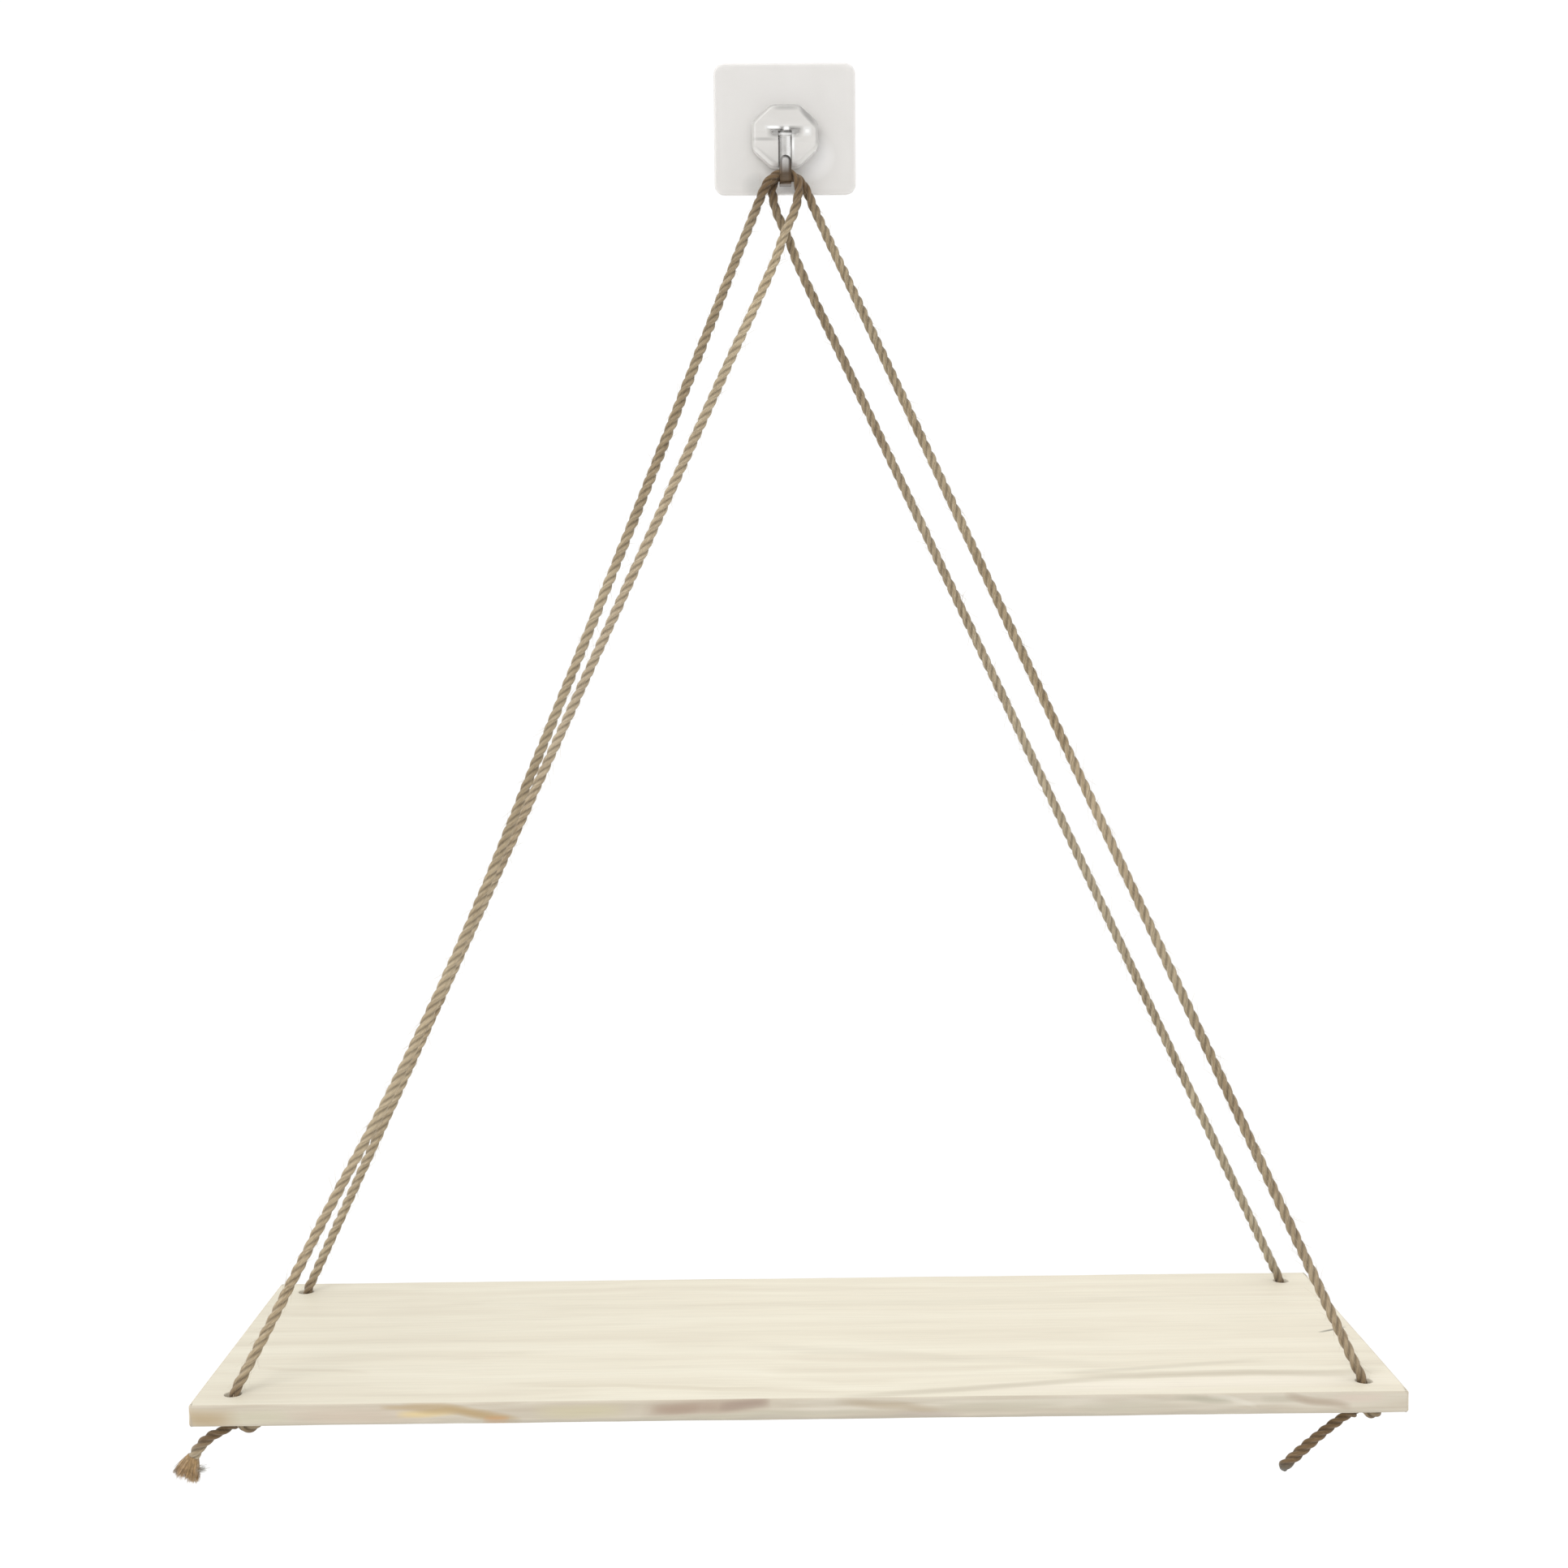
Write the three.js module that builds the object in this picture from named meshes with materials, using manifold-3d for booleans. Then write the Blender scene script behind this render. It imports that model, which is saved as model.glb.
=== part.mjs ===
// Hanging rope shelf: a wooden board slung on two jute ropes from one clear adhesive wall hook.
// Millimetres, +Z up. The origin is the centre of the pad's back face, which lies on the wall at y = 0.
// The room is towards -Y and the shelf's right end is towards +X.

import * as THREE from 'three';
import { mergeVertices } from 'three/addons/utils/BufferGeometryUtils.js';
import Module from 'manifold-3d';

const wasm = await Module();
wasm.setup();

// Clearances shared by all pieces
const touchGap = 0.3;
const cutOverrun = 1;

// Board
const boardLength = 450;
const boardDepth = 150;
const boardThickness = 8;
const boardCornerRadius = 1.5;
const boardEasedEdge = 0.6;
const boardWallGap = 0.5;
const boardDrop = 496;
const holeDiameter = 6.2;
const holeEndInset = 13.5;
const holeEdgeInset = 12;
const holeFacets = 24;

// Adhesive film and clear pad
const filmThickness = 0.5;
const filmInset = 0.5;
const padWidth = 60;
const padHeight = 55;
const padThickness = 1.6;
const padCornerRadius = 4.5;
const padEasedEdge = 0.35;

// Octagonal hub that holds the hook's crossbar
const hubWidth = 28;
const hubHeight = 25.5;
const hubDepth = 7.5;
const hubDrop = 4;
const hubChamfer = 1.6;
const hubSides = 8;

// Steel hook: a flat strip with a round crossbar, bent into a J
const barDiameter = 2.2;
const barLength = 15;
const barDrop = 2.9;
const barSetback = 5.6;
const barFacets = 20;
const barClearance = 0.3;
const stripWidth = 5;
const stripThickness = 1.2;
const stripEasedEdge = 0.25;
const slotClearance = 0.4;
const troughDrop = 24.3;
const troughCornerRadius = 2.6;
const tipDrop = 14;
const bendFacets = 8;

// Ropes
const ropeDiameter = 4;
const ropeSides = 10;
const ringsPerSpan = 2;
const bendSpans = 4;
const innerBendRadius = 5.6;
const outerBendRadius = 9.3;
const crossingDrop = 19.5;
const laneHoldDrop = 10;
const holeRise = 1;
const ropeEndInHole = 2;
const slackDrop = 25;

// The inner strand, as shares of the inner bend radius sideways and of the crossing's drop: down from the
// hook to the crossing, and the place past it where the strand runs straight
const innerFallShares = [[0.95, 0.25], [0.77, 0.49], [0.43, 0.75]];
const spreadShares = [0.93, 1.71];
// Places along a strand, as shares of its straight line up from the hole, and how far the slack left one
// falls there
const strandShares = [0.015, 0.06, 0.16, 0.29, 0.42, 0.54, 0.66, 0.78, 0.9];
const slackShares = [0.04, 0.18, 0.44, 0.86, 1, 0.84, 0.66, 0.46, 0.2];

// Overhand knots under the board, drawn tight, so that the rope in them is thinner
const knotRopeDiameter = 3;
const knotRopeSides = 8;
const knotRings = 44;
const knotRadiusShare = 1.35;
const knotWaveShare = 0.62;
const knotHeightShare = 1.1;
const knotOpening = 0.45;
// From the hole down into the knot, in diameters of the knotted rope about the hole's axis
const knotEntryShares = [[0, 0, -0.22], [0.1, -0.3, -0.52], [0.46, -0.8, -0.68]];
// Each knot's turn about its hole's axis, in radians, and the rope between two places in it that may come
// near each other, in its diameters
const knotTurns = { leftFront: 1.12, leftRear: -0.5, rightFront: 1.31, rightRear: Math.PI };
const knotLoopShare = 2.2;

// Tails, in rope diameters from the hole's axis at the board's underside
const frontLeftTail = [
  [-0.95, 0.42, -1.6], [-1.9, 0.3, -2.05], [-2.72, 0.22, -2.75], [-3.3, 0.2, -3.5], [-3.62, 0.18, -4.15],
];
const frontRightTail = [
  [-1.25, 0.5, -1.6], [-2.45, 0.38, -2.25], [-3.8, 0.25, -3.2],
  [-5.1, 0.2, -4.35], [-6.25, 0.17, -5.4], [-7.2, 0.15, -6.4],
];
const rearLeftTail = [[-0.1, 0.1, -1.6], [-0.85, -0.35, -2], [-1.25, -0.55, -2.9], [-1.35, -0.6, -4]];
const rearRightTail = [[0.15, 0.2, -1.7], [0.8, 0.1, -2.2], [1.1, 0, -3.1], [1.2, 0, -4.3]];

// Frayed end of the front left tail: radius and place along it, in rope diameters
const frayShares = [[0.44, 0], [0.7, 0.35], [1.05, 0.85], [1.32, 1.3], [1.3, 1.6], [0.95, 1.8]];
const frayFacets = 12;
const frayFlatShare = 0.8;

// Places worked out from the sizes above
const filmFace = filmThickness;
const padFace = filmFace + padThickness;
const boardTop = -boardDrop;
const boardUnderside = boardTop - boardThickness;
const boardRear = -boardWallGap;
const holeX = boardLength / 2 - holeEndInset;
const rearHoleY = boardRear - holeEdgeInset;
const frontHoleY = boardRear - boardDepth + holeEdgeInset;
const troughWidth = 2 * ropeDiameter + 3 * touchGap;
const troughBack = barSetback + stripThickness / 2;
const hookPivotZ = -troughDrop - stripThickness / 2;
const backLane = -(troughBack + touchGap + ropeDiameter / 2);
const frontLane = backLane - ropeDiameter - touchGap;
// The inner bend just clears the strip's upper edges, which sets the height where both bends meet
const bendClearance = innerBendRadius - ropeDiameter / 2 - touchGap;
const bendTopZ = -troughDrop + innerBendRadius - Math.sqrt(bendClearance ** 2 - (stripWidth / 2) ** 2);

const finish = (color, roughness, others = {}) => (
  new THREE.MeshStandardMaterial({ color, roughness, ...others })
);
const clearPlastic = finish(0xe4e2de, 0.15, { transparent: true, opacity: 0.55 });
const adhesive = finish(0xeceae4, 0.4, { transparent: true, opacity: 0.6 });
const steel = finish(0x9b9a98, 0.22, { metalness: 1 });
const paleWood = finish(0xe9dfca, 0.6);
const jute = finish(0x8f7450, 0.95);

// A curve whose rings follow its own points, so that tight bends get rings close together
class RopeCurve extends THREE.CatmullRomCurve3 {
  getUtoTmapping(u) {
    return u;
  }
}

function solidOf(geometry) {
  const merged = geometry.clone();
  merged.deleteAttribute('normal');
  merged.deleteAttribute('uv');
  const welded = mergeVertices(merged);
  const vertProperties = new Float32Array(welded.attributes.position.array);
  const triVerts = new Uint32Array(welded.index.array);
  return new wasm.Manifold(new wasm.Mesh({ numProp: 3, vertProperties, triVerts }));
}

function geometryOf(solid) {
  const mesh = solid.getMesh();
  const places = new THREE.BufferAttribute(new Float32Array(mesh.vertProperties), 3);
  const corners = new THREE.BufferAttribute(new Uint32Array(mesh.triVerts), 1);
  const geometry = new THREE.BufferGeometry();
  geometry.setAttribute('position', places);
  geometry.setIndex(corners);
  geometry.computeVertexNormals();
  return geometry;
}

// A rounded rectangle centred on the shape's origin
function roundedRectangle(width, height, radius) {
  const right = width / 2;
  const top = height / 2;
  const shape = new THREE.Shape();
  shape.moveTo(-right + radius, -top);
  shape.absarc(right - radius, -top + radius, radius, -Math.PI / 2, 0, false);
  shape.absarc(right - radius, top - radius, radius, 0, Math.PI / 2, false);
  shape.absarc(-right + radius, top - radius, radius, Math.PI / 2, Math.PI, false);
  shape.absarc(-right + radius, -top + radius, radius, Math.PI, Math.PI * 1.5, false);
  shape.closePath();
  return shape;
}

// Extrudes a shape by a full thickness, its edges eased within that thickness
function easedPlate(shape, thickness, eased, curveSegments) {
  return new THREE.ExtrudeGeometry(shape, {
    depth: thickness - 2 * eased,
    bevelEnabled: true,
    bevelThickness: eased,
    bevelSize: eased,
    bevelOffset: -eased,
    bevelSegments: 1,
    curveSegments,
  }).translate(0, 0, eased);
}

// Turns a plate drawn in X and Z and extruded from the wall, its back face at the given setback
function standOnWall(geometry, setback) {
  return geometry.rotateX(Math.PI / 2).translate(0, -setback, 0);
}

function boxAt(lowX, highX, lowY, highY, lowZ, highZ) {
  const box = new THREE.BoxGeometry(highX - lowX, highY - lowY, highZ - lowZ);
  return box.translate((lowX + highX) / 2, (lowY + highY) / 2, (lowZ + highZ) / 2);
}

function makeFilm() {
  const width = padWidth - 2 * filmInset;
  const height = padHeight - 2 * filmInset;
  const shape = roundedRectangle(width, height, padCornerRadius - filmInset);
  const options = { depth: filmThickness, bevelEnabled: false, curveSegments: bendFacets };
  return standOnWall(new THREE.ExtrudeGeometry(shape, options), 0);
}

function makePad() {
  const shape = roundedRectangle(padWidth, padHeight, padCornerRadius);
  return standOnWall(easedPlate(shape, padThickness, padEasedEdge, bendFacets), filmFace);
}

// The hub is an octagonal block with a chamfered face. A groove in its back takes the crossbar, which the
// pad then closes in, and a slot lets the strip hang down and swing out to level.
function makeHub() {
  const outerRadius = hubWidth / 2 / Math.cos(Math.PI / hubSides);
  const profile = [
    new THREE.Vector2(0, 0),
    new THREE.Vector2(outerRadius, 0),
    new THREE.Vector2(outerRadius, hubDepth - hubChamfer),
    new THREE.Vector2(outerRadius - hubChamfer, hubDepth),
    new THREE.Vector2(0, hubDepth),
  ];
  const block = new THREE.LatheGeometry(profile, hubSides);
  block.rotateY(Math.PI / hubSides).rotateX(Math.PI);
  block.scale(1, 1, hubHeight / hubWidth).translate(0, -padFace, -hubDrop);

  const grooveRadius = barDiameter / 2 + barClearance;
  const grooveHalfLength = barLength / 2 + barClearance;
  const groove = boxAt(
    -grooveHalfLength, grooveHalfLength,
    -barSetback, -padFace + cutOverrun,
    -barDrop - grooveRadius, -barDrop + grooveRadius,
  );
  const seat = new THREE.CylinderGeometry(grooveRadius, grooveRadius, 2 * grooveHalfLength, barFacets);
  seat.rotateZ(Math.PI / 2).translate(0, -barSetback, -barDrop);

  const slotHalfWidth = stripWidth / 2 + slotClearance;
  const slotBack = -(barSetback - stripThickness / 2 - touchGap);
  const slotFront = -(padFace + hubDepth + cutOverrun);
  const slotTop = -barDrop + stripThickness / 2 + touchGap;
  const slotBottom = -hubDrop - hubHeight / 2 - cutOverrun;
  const slot = boxAt(-slotHalfWidth, slotHalfWidth, slotFront, slotBack, slotBottom, slotTop);

  const cuts = [groove, seat, slot];
  return geometryOf(cuts.reduce((solid, cut) => solid.subtract(solidOf(cut)), solidOf(block)));
}

// The J is drawn from the side: across is the distance from the wall and up is Z
function makeHook() {
  const backOuter = barSetback - stripThickness / 2;
  const frontInner = troughBack + troughWidth;
  const frontOuter = frontInner + stripThickness;
  const innerBottom = -troughDrop;
  const outerBottom = innerBottom - stripThickness;
  const outerRadius = troughCornerRadius + stripThickness;
  const bendZ = innerBottom + troughCornerRadius;
  const side = new THREE.Shape();
  side.moveTo(backOuter, -barDrop);
  side.lineTo(backOuter, bendZ);
  side.absarc(backOuter + outerRadius, bendZ, outerRadius, Math.PI, Math.PI * 1.5, false);
  side.lineTo(frontOuter - outerRadius, outerBottom);
  side.absarc(frontOuter - outerRadius, bendZ, outerRadius, Math.PI * 1.5, Math.PI * 2, false);
  side.lineTo(frontOuter, -tipDrop);
  side.lineTo(frontInner, -tipDrop);
  side.lineTo(frontInner, bendZ);
  side.absarc(frontInner - troughCornerRadius, bendZ, troughCornerRadius, 0, -Math.PI / 2, true);
  side.lineTo(troughBack + troughCornerRadius, innerBottom);
  const backCorner = troughBack + troughCornerRadius;
  side.absarc(backCorner, bendZ, troughCornerRadius, Math.PI * 1.5, Math.PI, true);
  side.lineTo(troughBack, -barDrop);
  side.closePath();
  const strip = easedPlate(side, stripWidth, stripEasedEdge, bendFacets);
  const sideways = new THREE.Matrix4().makeBasis(
    new THREE.Vector3(0, -1, 0),
    new THREE.Vector3(0, 0, 1),
    new THREE.Vector3(-1, 0, 0),
  );
  strip.applyMatrix4(sideways).translate(stripWidth / 2, 0, 0);

  const crossbar = new THREE.CylinderGeometry(barDiameter / 2, barDiameter / 2, barLength, barFacets);
  crossbar.rotateZ(Math.PI / 2).translate(0, -barSetback, -barDrop);

  // What the round tip leaves over is cut from the front leg alone
  const tipRadius = stripWidth / 2;
  const tipMiddle = -tipDrop - tipRadius;
  const corners = boxAt(
    -tipRadius - cutOverrun, tipRadius + cutOverrun,
    -frontOuter - cutOverrun, -frontInner + cutOverrun,
    tipMiddle, -tipDrop + cutOverrun,
  );
  const roundLength = stripThickness + 4 * cutOverrun;
  const round = new THREE.CylinderGeometry(tipRadius, tipRadius, roundLength, barFacets);
  round.translate(0, -(frontInner + frontOuter) / 2, tipMiddle);
  const waste = solidOf(corners).subtract(solidOf(round));
  return geometryOf(solidOf(strip).add(solidOf(crossbar)).subtract(waste));
}

function makeBoard() {
  const shape = roundedRectangle(boardLength, boardDepth, boardCornerRadius);
  const middleY = boardRear - boardDepth / 2;
  for (const x of [-holeX, holeX]) {
    for (const y of [rearHoleY, frontHoleY]) {
      const hole = new THREE.Path();
      hole.absarc(x, y - middleY, holeDiameter / 2, 0, Math.PI * 2, true);
      shape.holes.push(hole);
    }
  }
  return easedPlate(shape, boardThickness, boardEasedEdge, holeFacets).translate(0, middleY, boardUnderside);
}

function sectionOf(diameter, sides) {
  const points = [];
  for (let i = 0; i < sides; i += 1) {
    const angle = (i / sides) * Math.PI * 2;
    points.push(new THREE.Vector2(Math.cos(angle) * diameter / 2, Math.sin(angle) * diameter / 2));
  }
  return new THREE.Shape(points);
}

function tubeAlong(points, diameter, sides, rings) {
  const extrudePath = new RopeCurve(points, false, 'centripetal');
  const steps = rings * (points.length - 1);
  return new THREE.ExtrudeGeometry(sectionOf(diameter, sides), { steps, extrudePath, bevelEnabled: false });
}

function strandBetween(start, end, slack) {
  return strandShares.map((share, i) => {
    const point = start.clone().lerp(end, share);
    point.z -= slack * slackShares[i];
    return point;
  });
}

// One rope, from its rear hole, across under the hook, over it and down to its front hole.
// side is -1 for the left rope and 1 for the right one, and lane is its place in the hook's trough.
// Over the hook it bends closely on the inner strand's side and widely on the outer one's.
function ropeRoute(side, lane, slack) {
  const at = (x, y, z) => new THREE.Vector3(side * x, y, z);
  const rear = at(holeX, rearHoleY, boardTop + holeRise);
  const front = at(holeX, frontHoleY, boardTop + holeRise);
  const nearCrossing = ([acrossShare, dropShare], way) => (
    at(way * acrossShare * innerBendRadius, lane, hookPivotZ - dropShare * crossingDrop)
  );
  const spread = nearCrossing(spreadShares, 1);
  const points = [
    at(holeX, rearHoleY, boardUnderside + ropeEndInHole),
    at(holeX, rearHoleY, boardTop),
    rear,
    ...strandBetween(rear, spread, 0),
    spread,
    at(0, lane, hookPivotZ - crossingDrop),
    ...innerFallShares.toReversed().map((shares) => nearCrossing(shares, -1)),
  ];
  const bendTo = (angle, radius) => {
    points.push(at(radius * Math.sin(angle), lane, bendTopZ - radius + radius * Math.cos(angle)));
  };
  for (let i = 0; i <= bendSpans; i += 1) {
    bendTo((Math.PI / 2) * (i / bendSpans - 1), innerBendRadius);
  }
  const middleZ = bendTopZ - outerBendRadius;
  const lean = Math.atan2(holeX - outerBendRadius, middleZ - boardTop);
  const sweep = Math.PI / 2 - lean;
  for (let i = 1; i <= bendSpans; i += 1) {
    bendTo(sweep * i / bendSpans, outerBendRadius);
  }
  // From the bend's end the outer strand leans on down its own lane before it turns towards the board
  const leaveX = outerBendRadius * Math.cos(lean);
  const leaveZ = middleZ + outerBendRadius * Math.sin(lean);
  const heldZ = hookPivotZ - laneHoldDrop;
  const held = at(leaveX + (leaveZ - heldZ) * Math.tan(lean), lane, heldZ);
  points.push(held, ...strandBetween(front, held, slack).reverse(), front);
  points.push(at(holeX, frontHoleY, boardTop));
  points.push(at(holeX, frontHoleY, boardUnderside + ropeEndInHole));
  return points;
}

// An overhand knot lies flat under the board as an open trefoil. Its centre is to one side of the hole,
// turned about the hole's axis, and its tail's points are in rope diameters.
function knotRoute(holeSide, holeY, turn, tail) {
  const radius = knotRadiusShare * knotRopeDiameter;
  const wave = knotWaveShare * knotRopeDiameter;
  const halfHeight = knotHeightShare * wave + knotRopeDiameter / 2;
  const middleZ = -touchGap - halfHeight;
  const reach = radius + wave;
  const turned = (x, y, z) => new THREE.Vector3(x, y, z).applyAxisAngle(new THREE.Vector3(0, 0, 1), turn);
  const points = [turned(0, 0, ropeEndInHole - touchGap)];
  for (const [x, y, z] of knotEntryShares) {
    points.push(turned(x * knotRopeDiameter, y * knotRopeDiameter, z * knotRopeDiameter));
  }
  for (let i = 0; i <= knotRings; i += 1) {
    const t = knotOpening + (Math.PI * 2 - 2 * knotOpening) * i / knotRings;
    const out = radius + wave * Math.cos(3 * t);
    const z = middleZ + knotHeightShare * wave * Math.sin(3 * t);
    points.push(turned(reach - out * Math.cos(2 * t), -out * Math.sin(2 * t), z));
  }
  for (const [x, y, z] of tail) {
    points.push(new THREE.Vector3(x * ropeDiameter, y * ropeDiameter, z * ropeDiameter));
  }
  const hole = new THREE.Vector3(holeSide * holeX, holeY, boardUnderside);
  return points.map((point) => point.add(hole));
}

// The frayed end widens from the rope's size to a blunt brush, flattened from front to back
function makeFray() {
  const profile = [new THREE.Vector2(0, 0)];
  for (const [radiusShare, alongShare] of frayShares) {
    profile.push(new THREE.Vector2(radiusShare * ropeDiameter, alongShare * ropeDiameter));
  }
  const lastAlongShare = frayShares.at(-1)[1];
  profile.push(new THREE.Vector2(0, lastAlongShare * ropeDiameter));
  return new THREE.LatheGeometry(profile, frayFacets).scale(1, 1, frayFlatShare);
}

// Least distance of a route to itself, leaving out what lies nearer along it than the given length
function leastSelfDistance(points, near) {
  const stations = [0];
  for (let i = 1; i < points.length; i += 1) {
    stations.push(stations[i - 1] + points[i].distanceTo(points[i - 1]));
  }
  let least = Infinity;
  for (let i = 0; i < points.length; i += 1) {
    for (let j = i + 1; j < points.length; j += 1) {
      if (stations[j] - stations[i] > near) least = Math.min(least, points[i].distanceTo(points[j]));
    }
  }
  return least;
}

const shelf = new THREE.Group();

function addPiece(name, geometry, material) {
  const mesh = new THREE.Mesh(geometry, material);
  mesh.name = name;
  shelf.add(mesh);
  return mesh;
}

addPiece('adhesive_film', makeFilm(), adhesive);
addPiece('clear_pad', makePad(), clearPlastic);
addPiece('hook_hub', makeHub(), clearPlastic);
addPiece('steel_hook', makeHook(), steel);
addPiece('shelf_board', makeBoard(), paleWood);

const leftRoute = ropeRoute(-1, frontLane, slackDrop);
const rightRoute = ropeRoute(1, backLane, 0);
addPiece('left_rope', tubeAlong(leftRoute, ropeDiameter, ropeSides, ringsPerSpan), jute);
addPiece('right_rope', tubeAlong(rightRoute, ropeDiameter, ropeSides, ringsPerSpan), jute);

const knotRoutes = {
  left_front_knot: knotRoute(-1, frontHoleY, knotTurns.leftFront, frontLeftTail),
  left_rear_knot: knotRoute(-1, rearHoleY, knotTurns.leftRear, rearLeftTail),
  right_front_knot: knotRoute(1, frontHoleY, knotTurns.rightFront, frontRightTail),
  right_rear_knot: knotRoute(1, rearHoleY, knotTurns.rightRear, rearRightTail),
};
for (const [name, route] of Object.entries(knotRoutes)) {
  addPiece(name, tubeAlong(route, knotRopeDiameter, knotRopeSides, 1), jute);
  const gap = leastSelfDistance(route, knotLoopShare * knotRopeDiameter) - knotRopeDiameter;
  console.log(`${name}: least gap to itself ${gap.toFixed(2)} mm`);
}

const frayedRoute = knotRoutes.left_front_knot;
const tailEnd = frayedRoute.at(-1);
const tailDirection = tailEnd.clone().sub(frayedRoute.at(-2)).normalize();
const fray = addPiece('left_frayed_end', makeFray(), jute);
fray.quaternion.setFromUnitVectors(new THREE.Vector3(0, 1, 0), tailDirection);
fray.position.copy(tailEnd).addScaledVector(tailDirection, touchGap);

export default shelf;
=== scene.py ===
# Hanging rope shelf: a pale board on two jute ropes, hung from the steel hook of a clear adhesive pad.
# Metres, +Z up, the wall at y = 0 and the room towards -Y.
import bpy
import math
import numpy as np
from mathutils import Matrix, Vector


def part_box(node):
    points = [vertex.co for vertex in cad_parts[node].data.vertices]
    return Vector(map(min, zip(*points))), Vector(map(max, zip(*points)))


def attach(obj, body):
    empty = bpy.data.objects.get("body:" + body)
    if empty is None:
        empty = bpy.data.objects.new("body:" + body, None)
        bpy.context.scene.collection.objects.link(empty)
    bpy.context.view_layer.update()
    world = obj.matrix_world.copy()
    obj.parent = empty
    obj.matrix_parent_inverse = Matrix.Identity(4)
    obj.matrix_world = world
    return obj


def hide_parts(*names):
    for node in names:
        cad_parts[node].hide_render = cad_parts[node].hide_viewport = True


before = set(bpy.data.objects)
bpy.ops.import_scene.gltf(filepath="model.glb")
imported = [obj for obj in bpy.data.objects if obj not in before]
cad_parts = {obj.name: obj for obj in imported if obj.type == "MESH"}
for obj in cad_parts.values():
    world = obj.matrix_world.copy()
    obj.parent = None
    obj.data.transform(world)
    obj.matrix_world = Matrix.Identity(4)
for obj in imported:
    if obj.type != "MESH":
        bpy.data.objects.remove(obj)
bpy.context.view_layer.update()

MM = 0.001

# Adhesive film
# A thin layer of clear acrylic adhesive, cast on the back of the pad and pressed onto the wall. It lies a
# little inside the pad's outline and holds a scatter of tiny trapped bubbles.

film_low, film_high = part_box("adhesive_film")
film_corner = 4.0 * MM
film_edge = 0.12 * MM
film_tones = [(0.3, (0.80, 0.79, 0.76)), (0.7, (0.88, 0.87, 0.84))]
bubble_tone = (0.95, 0.95, 0.94)


def circle(angle):
    """Points of a circle of radius 1 at the given angles: the cosine and the sine of each."""
    return np.stack([np.cos(angle), np.sin(angle)], -1)


def rounded_outline(width, height, radius, per_corner=10, per_side=1):
    """Points round a rectangle with arcs for corners, anticlockwise, with each side cut into equal steps."""
    half = np.array([width / 2 - radius, height / 2 - radius])
    corners = []
    for quarter, signs in enumerate([(1, -1), (1, 1), (-1, 1), (-1, -1)]):
        angle = -math.pi / 2 + quarter * math.pi / 2 + np.linspace(0, math.pi / 2, per_corner)
        corners.append(half * signs + radius * circle(angle))
    points = []
    for corner, after in zip(corners, corners[1:] + corners[:1]):
        share = np.linspace(0, 1, per_side, endpoint=False)[1:, None]
        points += [corner, corner[-1] + share * (after[0] - corner[-1])]
    return np.concatenate(points)


def ring_faces(rings, around):
    """Quads between neighbouring closed rings of the same number of points, as one array."""
    row = np.arange(rings - 1)[:, None] * around
    here = np.arange(around)[None, :]
    after = (here + 1) % around
    quads = [row + here, row + after, row + after + around, row + here + around]
    return np.stack(quads, -1).reshape(-1, 4)


def closed_rings(rings):
    """Joins a stack of rings, an array of ring, point and coordinate, and closes each end with one face."""
    count, around = rings.shape[:2]
    start = list(range(around))[::-1]
    end = list(range((count - 1) * around, count * around))
    return rings.reshape(-1, 3), ring_faces(count, around).tolist() + [start, end]


def new_piece(name, verts, faces, material, uv=None, smooth=True):
    """Makes an object whose place is in its mesh. Its many-sided faces stay flat, so that the rounding of an
    edge doesn't spread over them. uv, if given, is one pair for each vertex."""
    mesh = bpy.data.meshes.new(name)
    mesh.from_pydata(np.asarray(verts).tolist(), [], faces)
    mesh.materials.append(material)
    mesh.polygons.foreach_set("use_smooth", [smooth and len(face) < 5 for face in faces])
    if uv is not None:
        corner = np.zeros(len(mesh.loops), np.int32)
        mesh.loops.foreach_get("vertex_index", corner)
        layer = mesh.uv_layers.new(name="UVMap")
        layer.data.foreach_set("uv", np.asarray(uv, np.float32)[corner].ravel())
    mesh.update()
    piece = bpy.data.objects.new(name, mesh)
    bpy.context.scene.collection.objects.link(piece)
    return piece


def wall_plate(outline_at, stations):
    """Stacks outlines drawn in X and Z towards the room. Each station is an inset and a distance from the
    wall, and outline_at gives the outline for an inset."""
    rings = []
    for inset, out in stations:
        outline = outline_at(inset)
        rings.append(np.stack([outline[:, 0], np.full(len(outline), -out), outline[:, 1]], 1))
    return closed_rings(np.array(rings))


def eased_stations(near, far, radius, steps=5):
    """Stations from near to far with both edges rounded by a quarter circle of the given radius."""
    angle = np.linspace(0, math.pi / 2, steps)
    inset = radius * (1 - np.sin(angle))
    rise = radius * (1 - np.cos(angle))
    lower = list(zip(inset, near + rise))
    upper = [(i, far - r) for i, r in zip(inset, rise)][::-1]
    return lower + upper


def sheet(low, high, corner, edge, edge_steps, per_corner=10, per_side=1):
    """A flat plate that fills a box, with round corners and with the edges of both faces eased."""
    size = high - low

    def outline(inset):
        """The box's outline, drawn in on all sides by the inset."""
        return rounded_outline(size.x - 2 * inset, size.z - 2 * inset, corner - inset, per_corner, per_side)

    return wall_plate(outline, eased_stations(-high.y, -low.y, edge, edge_steps))


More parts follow.
